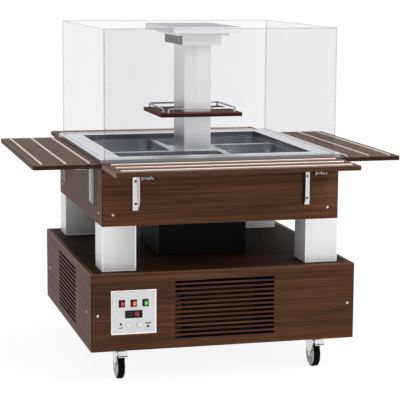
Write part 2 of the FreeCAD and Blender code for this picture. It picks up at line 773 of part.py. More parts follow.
# ---------------------------------------------------------------- lift column, head and dome



def tube(label, bottom, top, width, length):
    """Rectangular tube standing upright on the centre."""
    outer = centred_box(f"{label}Outer", bottom, (width, length, f"{top} - ({bottom})"))
    bore = centred_box(f"{label}Bore", f"{bottom} - 1",
                       (f"{width} - 2*column_wall", f"{length} - 2*column_wall", f"{top} - ({bottom}) + 2"))
    return minus(label, outer, bore)


def columns():
    """Fixed outer column with the shelf collar, and the column that slides inside it."""
    fixed = tube("FixedTube", "column_foot", "(head_bottom - joint_gap)", "column_width", "column_length")
    collar_bottom = "(shelf_top - shelf_thickness - column_wall)"
    collar = centred_box("CollarOuter", collar_bottom,
                         ("column_width + 2*collar_width", "column_length + 2*collar_width", "column_wall"))
    hole = centred_box("CollarHole", f"{collar_bottom} - 1",
                       ("column_width - column_wall", "column_length - column_wall", "column_wall + 2"))
    keep("outer_column", fused("OuterColumn", fixed, minus("Collar", collar, hole)))
    foot = "(column_foot + inner_rise)"
    sliding = tube("SlidingTube", foot, "head_bottom", "slide_width", "slide_length")
    cap = centred_box("SlidingCap", "head_bottom - column_wall",
                      ("slide_width", "slide_length", "column_wall"))
    stem = rod("LiftRod", ("0", "actuator_y", "rod_foot"), "rod_radius", "head_bottom - rod_foot")
    keep("inner_column", fused("InnerColumn", sliding, cap, stem))


def lift_actuator():
    """Electric lift: gearbox on the cabinet floor, motor and actuator tube."""
    gearbox = centred_box("Gearbox", "column_foot",
                          ("gearbox_width", "slide_length - 2*gearbox_play", "gearbox_height"))
    tube_body = rod("ActuatorTube", ("0", "actuator_y", "column_foot"), "actuator_radius", "actuator_height")
    motor = rod("LiftMotor", ("0", "motor_y", "column_foot"), "motor_radius", "motor_height")
    body = fused("ActuatorBody", gearbox, tube_body, motor)
    bore = rod("ActuatorBore", ("0", "actuator_y", "rod_foot - rod_end_gap"), "rod_radius + rod_clearance",
               "actuator_height")
    keep("lift_actuator", minus("Actuator", body, bore))


def dome_head():
    """Hollow head with its wider flange."""
    head = centred_box("HeadOuter", "head_bottom", ("head_width", "head_length", "head_height"))
    bore = centred_box("HeadBore", "head_bottom + sheet_thickness",
                       ("head_width - 2*sheet_thickness", "head_length - 2*sheet_thickness",
                        "head_height - sheet_thickness"))
    flange = centred_box("HeadFlange", "head_bottom + head_height",
                         ("flange_width", "flange_length", "flange_height"))
    keep("dome_head", fused("Head", minus("HeadShell", head, bore), flange))


def dome_canopy():
    """Lamp box under the dome's top pane, its underside recessed for the lamps round the flange."""
    shell = centred_box("CanopyOuter", "canopy_bottom", ("canopy_width", "canopy_length", "canopy_height"))
    recess = centred_box("LampRecess", "canopy_bottom - 1",
                         ("canopy_width - 2*lamp_border", "canopy_length - 2*lamp_border", "lamp_recess + 1"))
    seat = centred_box("FlangeSeat", "canopy_bottom", ("flange_width", "flange_length", "lamp_recess"))
    keep("dome_canopy", fused("Canopy", minus("CanopyShell", shell, recess), seat))


def dome_glass():
    """Five bonded panes, open below."""
    bottom = "frame_top + joint_gap"
    height = "dome_height - glass_thickness - joint_gap"
    panes = [centred_box("TopPane", "glass_under", ("dome_side", "dome_side", "glass_thickness"))]
    middle = "(dome_side - glass_thickness)/2"
    front = centred_box("FrontPane", bottom, ("dome_side", "glass_thickness", height), ("0", f"-{middle}"))
    left = centred_box("LeftPane", bottom, ("glass_thickness", "dome_side - 2*glass_thickness", height),
                       (f"-{middle}", "0"))
    panes += [turned_copy(f"Turned_{pane.Name}_{angle}", pane, angle)
              for pane in (front, left) for angle in (0, 180)]
    keep("dome_glass", group("Panes", *panes))


# ---------------------------------------------------------------- middle shelf

def shelf_board():
    """Walnut shelf that the column passes through."""
    body = new_body("Shelf")
    outline = rectangle(("-shelf_width/2", "-shelf_length/2"), ("shelf_width/2", "shelf_length/2"))
    hole = rectangle(("-column_width/2", "-column_length/2"), ("column_width/2", "column_length/2"))
    pad(body, "ShelfPad", "XY_Plane", [outline, hole], length="shelf_thickness")
    rounded(body, "ShelfCorners", "shelf_corner", corner_at("shelf_width/2", "shelf_length/2"))
    keep("shelf_board", place(body, ("0", "0", "shelf_top - shelf_thickness")))


def bent_wire(points, bend):
    """Open wire through points with every inner corner rounded by an arc."""
    edges = []
    start = points[0]
    for before, corner, after in zip(points, points[1:], points[2:]):
        back = (before - corner).normalize()
        ahead = (after - corner).normalize()
        half_angle = back.getAngle(ahead) / 2
        reach = bend / math.tan(half_angle)
        arc_start = corner + back * reach
        arc_end = corner + ahead * reach
        inward = (back + ahead).normalize()
        centre = corner + inward * (bend / math.sin(half_angle))
        arc_middle = centre - inward * bend
        edges.append(Part.LineSegment(start, arc_start).toShape())
        edges.append(Part.Arc(arc_start, arc_middle, arc_end).toShape())
        start = arc_end
    edges.append(Part.LineSegment(start, points[-1]).toShape())
    return Part.Wire(edges)


def shelf_rail():
    """Gallery rod on three sides of the shelf, bent down at its front ends, with two rear posts."""
    x = value("shelf_width/2 - gallery_inset")
    rear = value("shelf_length/2 - gallery_inset")
    front = value("gallery_setback - shelf_length/2")
    height = value("gallery_height")
    radius = value("gallery_radius")
    bend = value("gallery_bend")
    points = [Vector(-x, front, 0), Vector(-x, front, height), Vector(-x, rear, height),
              Vector(x, rear, height), Vector(x, front, height), Vector(x, front, 0)]
    path = bent_wire(points, bend)
    section = Part.Wire([Part.Circle(points[0], Vector(0, 0, 1), radius).toShape()])
    shape = path.makePipeShell([section], True, False, 2)
    corner_cut = bend - bend / math.sqrt(2)
    for sign in (-1, 1):
        foot = Vector(sign * (x - corner_cut), rear - corner_cut, 0)
        shape = shape.fuse(Part.makeCylinder(radius, height, foot))
    rail = doc.addObject("Part::Feature", "Gallery")
    rail.Shape = shape.removeSplitter()
    keep("shelf_rail", place(rail, ("0", "0", "shelf_top")))


# ---------------------------------------------------------------- folding trays and brackets



def tray_board():
    """Board of the front tray, its outer corners rounded."""
    body = new_body("TrayBoard")
    half = "cabinet_side/2"
    pad(body, "TrayPad", "XY_Plane", [rectangle((f"-{half}", "-tray_outer"), (half, "-tray_inner"))],
        length="tray_thickness")
    rounded(body, "TrayCorners", "tray_corner", corner_at(half, "tray_outer"))
    return place(body, ("0", "0", "tray_under"))


def tray_strips():
    """Raised slide strips on the front tray, their upper edges rounded."""
    body = new_body("TrayStrips")
    half = "(cabinet_side/2 - strip_inset)"
    low = (f"-{half}", "strip_outer - tray_outer - strip_width/2")
    high = (half, "strip_outer - tray_outer + strip_width/2")
    pad(body, "StripPad", "XY_Plane", [rectangle(low, high)], length="strip_height")
    top = value("strip_height") - 0.01
    length = 2 * value(half) - 0.01
    rounded(body, "StripCrown", "strip_round",
            lambda edge: edge.BoundBox.ZMin > top and edge.BoundBox.XLength > length)
    strip = place(body, ("0", "0", "tray_top"))
    strips = [strip]
    for number in range(1, int(value("strip_count"))):
        strips.append(moved_copy(f"Strip{number}", strip, ("0", f"strip_pitch*{number}", "0")))
    return group("Strips", *strips)


def leg_web_x(sign):
    """Left side of a leg's web, which stands on the edge of the leg nearer the middle of the tray."""
    return f"({sign}*bracket_offset + {'leg_width/2 - leg_sheet' if sign < 0 else '-leg_width/2'})"


def wall_leg(sign):
    """Wall leg of a folding bracket: plate on the cabinet and a web that carries the pin."""
    tag = "L" if sign < 0 else "R"
    middle = f"{sign}*bracket_offset"
    plate = box(f"LegPlate{tag}", (f"{middle} - leg_width/2", "-cabinet_side/2 - leg_sheet", "leg_bottom"),
                ("leg_width", "leg_sheet", "leg_height"))
    web_x = leg_web_x(sign)
    web = new_body(f"LegWeb{tag}")
    outline = [("0", "0"), ("0", "leg_height"), ("-leg_reach", "leg_height"), ("-leg_reach", "leg_reach"),
               ("-leg_sheet", "0")]
    pad(web, f"LegWebPad{tag}", "YZ_Plane", [outline], length="leg_sheet")
    place(web, (web_x, "-cabinet_side/2", "leg_bottom"))
    eye = rod(f"LegEye{tag}", (web_x, "-pivot_y", "pivot_z"), "eye_radius", "leg_sheet", "X")
    holes = [rod(f"LegHole{tag}{number}",
                 (middle, "-cabinet_side/2 - leg_sheet - 1", f"leg_bottom + {level}"),
                 "leg_hole_radius", "leg_sheet + 2", "Y")
             for number, level in enumerate(("leg_hole_low", "leg_hole_high"))]
    reach = "(2*leg_sheet + 6*joint_gap)"
    pin_x = web_x if sign < 0 else f"{web_x} + leg_sheet - {reach}"
    pin = rod(f"Pin{tag}", (pin_x, "-pivot_y", "pivot_z"), "pin_radius", reach, "X")
    return minus(f"WallLeg{tag}", fused(f"LegSolid{tag}", plate, web, eye, pin), *holes)


def tray_arm(sign):
    """Arm under the tray: web beside the leg, flange under the board, hole in the free end."""
    tag = "L" if sign < 0 else "R"
    toward_middle = "+ (leg_sheet + joint_gap)" if sign < 0 else "- (leg_sheet + joint_gap)"
    web_x = f"({leg_web_x(sign)} {toward_middle})"
    web = new_body(f"ArmWeb{tag}")
    length = "(arm_end_y - pivot_y)"
    outline = [("0", "pivot_drop"), (f"-{length}", "pivot_drop"), (f"-{length}", "-pivot_drop"),
               ("-belly_far", "-arm_depth"), ("-belly_near", "-arm_depth"), ("0", "-pivot_drop")]
    pad(web, f"ArmWebPad{tag}", "YZ_Plane", [outline], length="leg_sheet")
    bar = place(web, (web_x, "-pivot_y", "pivot_z"))
    near = rod(f"ArmNearEye{tag}", (web_x, "-pivot_y", "pivot_z"), "pivot_drop", "leg_sheet", "X")
    far = rod(f"ArmFarEye{tag}", (web_x, "-arm_end_y", "pivot_z"), "pivot_drop", "leg_sheet", "X")
    flange_x = web_x if sign < 0 else f"{web_x} + leg_sheet - arm_flange"
    flange = box(f"ArmFlange{tag}",
                 (flange_x, "arm_flange_inset - arm_end_y", "tray_under - arm_flange_sheet"),
                 ("arm_flange", "arm_end_y - pivot_y - arm_flange_inset - 2*pivot_drop", "arm_flange_sheet"))
    bore = rod(f"ArmBore{tag}", (f"{web_x} - 1", "-pivot_y", "pivot_z"), "pin_radius + pin_clearance",
               "leg_sheet + 2", "X")
    hole = rod(f"ArmHole{tag}", (f"{web_x} - 1", "-arm_end_y", "pivot_z"), "arm_hole_radius",
               "leg_sheet + 2", "X")
    return minus(f"Arm{tag}", fused(f"ArmSolid{tag}", bar, near, far, flange), bore, hole)


def trays_and_brackets():
    """Four folding trays, each on two folding brackets."""
    board = tray_board()
    strips = tray_strips()
    arms = group("Arms", tray_arm(-1), tray_arm(1))
    legs = [wall_leg(-1), wall_leg(1)]
    for name, angle in SIDES:
        keep(f"tray_board_{name}", turned_copy(f"Board_{name}", board, angle))
        keep(f"tray_strips_{name}", turned_copy(f"Strips_{name}", strips, angle))
        keep(f"tray_arms_{name}", turned_copy(f"Arms_{name}", arms, angle))
    all_legs = [turned_copy(f"Leg{number}_{name}", leg, angle)
                for name, angle in SIDES for number, leg in enumerate(legs)]
    keep("tray_wall_brackets", group("WallBrackets", *all_legs))


# ---------------------------------------------------------------- castors

CORNERS = [("front_left", -1, -1), ("front_right", 1, -1), ("rear_left", -1, 1), ("rear_right", 1, 1)]


def castor_plates():
    """Top plates with the fixed half of the swivel race and the swivel pin."""
    plates = []
    plate = centred_box("CastorPlate", "race_top",
                        ("castor_plate_side", "castor_plate_side", "castor_plate_height"))
    race = rod("Race", ("0", "0", "fork_crown + joint_gap"), "race_radius", "race_height")
    pin = rod("KingPin", ("0", "0", "fork_crown - kingpin_length"), "kingpin_radius",
              "kingpin_length + joint_gap + race_height")
    top = fused("CastorTop", plate, race, pin)
    for name, x_sign, y_sign in CORNERS:
        spot = (f"{x_sign}*castor_offset", f"{y_sign}*castor_offset", "0")
        plates.append(moved_copy(f"CastorTop_{name}", top, spot))
    keep("castor_plates", group("CastorPlates", *plates))


def castor_fork():
    """Fork about its own swivel axis, wheel trailing towards -Y, with the axle across it."""
    body = new_body("Fork")
    half = "fork_length/2"
    shoulder = "fork_crown - fork_shoulder"
    cheek = [(half, "fork_crown"), (half, shoulder), ("axle_lug - castor_trail", "wheel_radius - axle_lug/2"),
             ("axle_lug/2 - castor_trail", "wheel_radius - axle_lug"),
             ("-axle_lug/2 - castor_trail", "wheel_radius - axle_lug"),
             ("-axle_lug - castor_trail", "wheel_radius - axle_lug/2"),
             ("-pedal_y - pedal_boss", "pedal_z - pedal_boss"), ("-pedal_y - pedal_boss", "fork_crown")]
    pad(body, "ForkPad", "YZ_Plane", [cheek], length="2*cheek_outer")
    body.Tip.Midplane = True
    slot = rectangle(("-cheek_inner", "0"), ("cheek_inner", "fork_crown - fork_sheet"))
    pocket(body, "ForkSlot", "XZ_Plane", [slot], length="2*fork_length + 2*pedal_y",
           lift="fork_length + pedal_y")
    mouth = rectangle(("-cheek_inner", "-pedal_y - 2*pedal_boss"),
                      ("cheek_inner", "pedal_boss + joint_gap - pedal_y"))
    pocket(body, "ForkMouth", "XY_Plane", [mouth], length="2*fork_sheet", lift="fork_crown + 1")
    pocket(body, "ForkPinHole", "XY_Plane", circles=[(("0", "0"), "kingpin_radius + pin_clearance")],
           length="2*fork_sheet", lift="fork_crown + 1")
    pad(body, "ForkAxle", "YZ_Plane", circles=[(("-castor_trail", "wheel_radius"), "axle_radius")],
        length="2*(cheek_outer + axle_proud)")
    body.Tip.Midplane = True
    return body


def castor_wheel():
    """Tyre and light hub disc about their own axle."""
    tyre = new_body("Tyre")
    half = "wheel_width/2"
    crown = [(f"-{half}", "hub_radius"), (f"-{half}", "wheel_radius - tyre_round"),
             (f"tyre_ease - {half}", "wheel_radius - tyre_ease"), (f"tyre_round - {half}", "wheel_radius"),
             (f"{half} - tyre_round", "wheel_radius"), (f"{half} - tyre_ease", "wheel_radius - tyre_ease"),
             (half, "wheel_radius - tyre_round"), (half, "hub_radius")]
    turned(tyre, "TyreTurn", "XY_Plane", crown, "X_Axis")
    hub = new_body("Hub")
    outer = f"({half} + hub_proud)"
    profile = [("-" + outer, "axle_radius + pin_clearance"), ("-" + outer, "hub_boss"),
               ("-hub_web/2", "hub_boss + hub_slope"), ("-hub_web/2", "hub_radius - hub_rim - hub_slope"),
               ("-" + outer, "hub_radius - hub_rim"), ("-" + outer, "hub_radius"), (outer, "hub_radius"),
               (outer, "hub_radius - hub_rim"), ("hub_web/2", "hub_radius - hub_rim - hub_slope"),
               ("hub_web/2", "hub_boss + hub_slope"), (outer, "hub_boss"),
               (outer, "axle_radius + pin_clearance")]
    turned(hub, "HubTurn", "XY_Plane", profile, "X_Axis")
    return group("Wheel", tyre, hub)


def brake_pedal():
    """Pressed pedal over the wheel, about its own pin between the fork cheeks."""
    body = new_body("Pedal")
    inner = "2*(cheek_inner - joint_gap)"
    neck = [("0", "pedal_boss"), ("-2*pedal_boss", "pedal_boss"),
            ("-2*pedal_boss", "pedal_boss - pedal_sheet"), ("0", "pedal_boss - 2*pedal_sheet")]
    pad(body, "PedalNeck", "YZ_Plane", [neck], length=inner)
    body.Tip.Midplane = True
    pad(body, "PedalBoss", "YZ_Plane", circles=[(("0", "0"), "pedal_boss - joint_gap")], length=inner)
    body.Tip.Midplane = True
    inside = "pedal_sheet - pedal_reach"
    plate = [("-2*pedal_boss", "pedal_boss"), (inside, "pedal_boss"), (inside, "pedal_rise"),
             ("-pedal_reach", "pedal_rise"), ("-pedal_reach", "pedal_sheet - pedal_drop"),
             ("-pedal_reach - pedal_lip", "-pedal_drop"),
             ("-pedal_reach - pedal_lip", "-pedal_drop - pedal_sheet"),
             (inside, "-pedal_drop"), (inside, "pedal_boss - pedal_sheet"),
             ("-2*pedal_boss", "pedal_boss - pedal_sheet")]
    pad(body, "PedalPlate", "YZ_Plane", [plate], length="pedal_width")
    body.Tip.Midplane = True
    return body


def castors():
    """Four castors; the two in front have brake pedals."""
    castor_plates()
    fork = castor_fork()
    wheel = castor_wheel()
    pedal = brake_pedal()
    for name, x_sign, y_sign in CORNERS:
        spot = (f"{x_sign}*castor_offset", f"{y_sign}*castor_offset")
        keep(f"castor_fork_{name}", moved_copy(f"Fork_{name}", fork, (*spot, "0")))
        hub = (spot[0], f"{spot[1]} - castor_trail", "wheel_radius")
        keep(f"castor_wheel_{name}", moved_copy(f"Wheel_{name}", wheel, hub))
        if y_sign < 0:
            pin = (spot[0], f"{spot[1]} - pedal_y", "pedal_z")
            keep(f"brake_pedal_{name}", moved_copy(f"Pedal_{name}", pedal, pin))


# ---------------------------------------------------------------- control panel

ROCKERS = [("red", -1), ("orange", 0), ("green", 1)]
BUTTONS = [("left", -1), ("right", 1)]


def frontal_box(label, middle_x, middle_z, width, height, face, depth):
    """Block centred on a spot of the front, from its face inwards."""
    return box(label, (f"{middle_x} - ({width})/2", face, f"{middle_z} - ({height})/2"),
               (width, depth, height))


def hole_about(x, z, width, height):
    """Rectangle centred on a spot."""
    return rectangle((f"{x} - ({width})/2", f"{z} - ({height})/2"),
                     (f"{x} + ({width})/2", f"{z} + ({height})/2"))


def control_panel():
    """Steel plate with holes for three rockers, thermostat and two push buttons."""
    plate = new_body("ControlPlate")
    high = ("control_width/2", "control_height/2")
    outline = rectangle(("-control_width/2", "-control_height/2"), high)
    pad(plate, "PlatePad", "XZ_Plane", [outline], length="control_sheet")
    edge_y = 0.01 - value("control_sheet")
    rounded(plate, "PlateEdge", "control_edge", lambda edge: edge.BoundBox.YMax < edge_y)
    holes = []
    for _, side in ROCKERS:
        holes.append(hole_about(f"{side}*rocker_pitch", "rocker_z - control_centre",
                                "bezel_width - 2*frame_lap", "bezel_height - 2*frame_lap"))
    holes.append(hole_about("0", "thermostat_z - control_centre", "thermostat_width - 2*frame_lap",
                            "thermostat_height - 2*frame_lap"))
    circles = [((f"{side}*button_pitch/2", "button_z - control_centre"), "button_bore + frame_lap")
               for _, side in BUTTONS]
    pocket(plate, "PlateHoles", "XZ_Plane", holes, circles, length="control_sheet + 2",
           lift="control_sheet + 1")
    keep("control_plate", place(plate, ("control_middle", "board_face", "control_centre")))


def switch_bezels():
    """Black rocker frames and the collars of the push buttons."""
    pieces = []
    face = "plate_face - bezel_proud"
    for name, side in ROCKERS:
        x = f"control_middle + {side}*rocker_pitch"
        flange = frontal_box(f"BezelFlange_{name}", x, "rocker_z", "bezel_width", "bezel_height", face,
                             "bezel_proud")
        body = frontal_box(f"BezelBody_{name}", x, "rocker_z", "bezel_width - 2*frame_lap",
                           "bezel_height - 2*frame_lap", face, "bezel_proud + switch_depth")
        hollow = frontal_box(f"BezelHollow_{name}", x, "rocker_z", "key_width", "key_height", f"{face} - 1",
                             "bezel_proud + switch_depth - switch_back + 1")
        pieces.append(minus(f"Bezel_{name}", fused(f"BezelSolid_{name}", flange, body), hollow))
    lip = "(bezel_proud/2)"
    for name, side in BUTTONS:
        x = f"control_middle + {side}*button_pitch/2"
        flange = rod(f"CollarFlange_{name}", (x, f"plate_face - {lip}", "button_z"),
                     "button_bore + collar_lip",
                     lip, "Y")
        body = rod(f"CollarBody_{name}", (x, f"plate_face - {lip}", "button_z"), "button_bore + frame_lap",
                   f"{lip} + switch_depth", "Y")
        hollow = rod(f"CollarHollow_{name}", (x, f"plate_face - {lip} - 1", "button_z"), "button_bore",
                     f"{lip} + 1 + switch_depth - switch_back", "Y")
        pieces.append(minus(f"ButtonCollar_{name}", fused(f"CollarSolid_{name}", flange, body), hollow))
    keep("switch_bezels", group("Bezels", *pieces))


def rockers():
    """Rocker keys, each about a pin across its middle, resting with the lower half pressed in."""
    for name, side in ROCKERS:
        body = new_body(f"Rocker_{name}")
        half = "rocker_height/2"
        outline = [("0", f"-{half}"), ("-rocker_thickness", f"-{half}"), ("-rocker_dish", "0"),
                   ("-rocker_thickness", half), ("0", half), ("rocker_thickness", "0")]
        pad(body, f"RockerPad_{name}", "YZ_Plane", [outline], length="rocker_width")
        body.Tip.Midplane = True
        tilt = Rotation(Vector(1, 0, 0), value("rocker_tilt"))
        spot = (f"control_middle + {side}*rocker_pitch", "rocker_y", "rocker_z")
        keep(f"rocker_{name}", place(body, spot, tilt))


def thermostat():
    """Digital thermostat: bezel over the plate and body behind it."""
    face = "plate_face - thermostat_proud"
    bezel = frontal_box("ThermostatBezel", "control_middle", "thermostat_z", "thermostat_width",
                        "thermostat_height", face, "thermostat_proud")
    body = frontal_box("ThermostatBody", "control_middle", "thermostat_z", "thermostat_width - 2*frame_lap",
                       "thermostat_height - 2*frame_lap", face,
                       "thermostat_proud + control_sheet + thermostat_depth")
    window = frontal_box("ThermostatWindow", "control_middle", "thermostat_z",
                         "thermostat_width - 2*window_border", "thermostat_height - 2*window_border",
                         f"{face} - 1", "window_depth + 1")
    keep("thermostat", minus("Thermostat", fused("ThermostatSolid", bezel, body), window))


def push_buttons():
    """Two round push buttons."""
    for name, side in BUTTONS:
        body = new_body(f"Button_{name}")
        outline = [("0", "0"), ("button_radius", "0"),
                   ("button_radius", "button_round - button_proud - button_tail"),
                   ("button_radius - button_round", "-button_proud - button_tail"),
                   ("0", "-button_proud - button_tail")]
        turned(body, f"ButtonTurn_{name}", "XY_Plane", outline, "Y_Axis")
        keep(f"button_{name}", place(body, (f"control_middle + {side}*button_pitch/2",
                                            "plate_face + button_tail", "button_z")))


# ---------------------------------------------------------------- refrigeration



def compressor():
    """Hermetic compressor: domed shell on a base plate."""
    body = new_body("Compressor")
    outline = [("0", "0"), ("compressor_foot", "0"), ("compressor_foot", "compressor_foot_height"),
               ("compressor_radius", "compressor_foot_height"),
               ("compressor_radius", "compressor_height - compressor_dome"),
               ("compressor_crown", "compressor_height"), ("0", "compressor_height")]
    turned(body, "CompressorTurn", "XZ_Plane", outline, "Z_Axis")
    keep("compressor", place(body, ("-compressor_left", "compressor_behind", "chassis_floor")))




def condenser_and_fan():
    """Condenser behind the front louvres, with shroud, motor and fan."""
    keep("condenser", centred_box("CondenserBlock", "chassis_floor",
                                  ("condenser_width", "condenser_thickness", "condenser_height"),
                                  ("0", "condenser_y")))
    plate = box("ShroudPlate", ("-condenser_width/2", "shroud_y", "chassis_floor"),
                ("condenser_width", "shroud_depth", "condenser_height"))
    mouth = rod("ShroudMouth", ("0", "shroud_y - 1", "fan_z"), "mouth_radius", "shroud_depth + 2", "Y")
    motor = rod("FanMotor", ("0", "fan_motor_y", "fan_z"), "fan_motor_radius", "fan_motor_length", "Y")
    shaft_y = "(fan_y - fan_hub_length/2 - fan_shaft_end)"
    shaft = rod("FanShaft", ("0", shaft_y, "fan_z"), "fan_shaft_radius", f"fan_motor_y + 1 - {shaft_y}", "Y")
    strut = box("MotorStrut", ("-motor_strut/2", "fan_motor_y", "chassis_floor"),
                ("motor_strut", "motor_strut_sheet", "condenser_height/2"))
    tie = box("MotorTie", ("-motor_strut/2", "shroud_y + shroud_depth - 1", "chassis_floor"),
              ("motor_strut", "fan_motor_gap + 2", "shroud_rim/2"))
    keep("fan_shroud", fused("Shroud", minus("ShroudRing", plate, mouth), motor, shaft, strut, tie))
    condenser_fan()


def condenser_fan():
    """Condenser fan: hub and pitched blades lofted from root to tip."""
    hub_radius = value("fan_hub_radius")
    length = value("fan_hub_length")
    tip = value("fan_radius")
    count = int(value("fan_blades"))
    along = Vector(0, 1, 0)
    hub = Part.makeCylinder(hub_radius, length, Vector(0, -length / 2, 0), along)
    blades = []
    for number in range(count):
        blade = fan_blade(hub_radius, tip)
        blade.rotate(Vector(), along, 360 / count * number)
        blades.append(blade)
    bore_radius = value("fan_shaft_radius + pin_clearance")
    bore = Part.makeCylinder(bore_radius, 3 * length, Vector(0, -1.5 * length, 0), along)
    wheel = doc.addObject("Part::Feature", "Fan")
    wheel.Shape = hub.multiFuse(blades).cut(bore).removeSplitter()
    keep("condenser_fan", place(wheel, ("0", "fan_y", "fan_z")))


def fan_blade(root, tip):
    """One blade: flat sections whose pitch falls from root to tip."""
    sections = []
    steps = ((root * 0.8, 0.9, 42), ((root + tip) / 2, 1.5, 32), (tip, 1.9, 24))
    for radius, breadth, pitch in steps:
        half = root * breadth / 2
        thin = root / 16
        corners = [Vector(-half, -thin, radius), Vector(half, -thin, radius),
                   Vector(half, thin, radius), Vector(-half, thin, radius)]
        turn = Rotation(Vector(0, 0, 1), pitch)
        corners = [turn.multVec(corner) for corner in corners]
        sections.append(Part.makePolygon(corners + corners[:1]))
    return Part.makeLoft(sections, True, True)


# ---------------------------------------------------------------- assembly, checks and files

def build():
    """Every sub-part, from the floor up."""
    base_chassis()
    base_boards()
    base_deck()
    corner_posts()
    central_core()
    cabinet_boards()
    cabinet_floor()
    well_tub()
    worktop_frame()
    divider_bars()
    food_pans()
    columns()
    lift_actuator()
    dome_head()
    dome_canopy()
    dome_glass()
    shelf_board()
    shelf_rail()
    trays_and_brackets()
    castors()
    control_panel()
    switch_bezels()
    rockers()
    thermostat()
    push_buttons()
    compressor()
    condenser_and_fan()
    doc.recompute()


def check_and_write():
    """Stop on any failed object or bad shape, then write one file per sub-part."""
    for item in doc.Objects:
        if "Invalid" in item.State or "Error" in item.State:
            raise ValueError(f"{item.Label} did not recompute")
    for label, thing in NODES.items():
        if thing.Shape.isNull() or not thing.Shape.isValid() or thing.Shape.Volume <= 0:
            raise ValueError(f"{label} has a bad shape")
    os.makedirs("parts", exist_ok=True)
    for label, thing in NODES.items():
        thing.Shape.exportStep(f"parts/{label}.step")
    print(f"{len(NODES)} sub-parts written")


build()
check_and_write()
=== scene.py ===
"""A square refrigerated salad bar on castors.

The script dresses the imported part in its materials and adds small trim, the room, the light and the camera.
"""

import math

import bmesh
import bpy
from mathutils import Matrix, Vector


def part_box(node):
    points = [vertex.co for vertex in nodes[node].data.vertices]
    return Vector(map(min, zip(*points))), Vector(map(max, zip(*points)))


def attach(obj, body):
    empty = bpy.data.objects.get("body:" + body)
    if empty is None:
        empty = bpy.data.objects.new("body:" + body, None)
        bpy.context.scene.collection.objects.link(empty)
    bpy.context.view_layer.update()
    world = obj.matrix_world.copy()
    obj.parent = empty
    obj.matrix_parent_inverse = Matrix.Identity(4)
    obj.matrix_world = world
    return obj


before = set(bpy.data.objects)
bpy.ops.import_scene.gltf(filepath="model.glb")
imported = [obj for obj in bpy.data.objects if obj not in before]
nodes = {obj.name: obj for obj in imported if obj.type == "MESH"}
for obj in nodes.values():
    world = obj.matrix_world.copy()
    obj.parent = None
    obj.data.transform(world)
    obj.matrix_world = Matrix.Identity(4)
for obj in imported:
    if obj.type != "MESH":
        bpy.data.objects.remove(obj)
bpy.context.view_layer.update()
scene = bpy.context.scene

SIDES = ("front", "right", "rear", "left")
CORNERS = ("front_left", "front_right", "rear_left", "rear_right")

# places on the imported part, in metres from its middle and from the floor
BASE_FACE, BASE_TOP = 0.585, 0.482
CABINET_FACE, CABINET_TOP = 0.525, 0.956
LOUVRES_HALF, LOUVRES_TOP = 0.2225, 0.445
POST_INSIDE = 0.378
WELL_EDGE = 0.4325
HUB_RADIUS = 0.0521


# ---------------------------------------------------------------- node trees

WHITE = (1, 1, 1, 1)
TURNED = 0.6     # a face looks along an axis if its normal leans that far towards it


def tone(red, green, blue):
    """A colour written as a photograph shows it, 0 to 255, as Blender's linear colour."""
    def linear(value):
        value = value / 255
        return value / 12.92 if value <= 0.04045 else ((value + 0.055) / 1.055) ** 2.4
    return linear(red), linear(green), linear(blue), 1.0


def scaled(colour, factor):
    """A colour made darker, or lighter up to white."""
    return tuple(min(1, part * factor) for part in colour[:3]) + (1,)


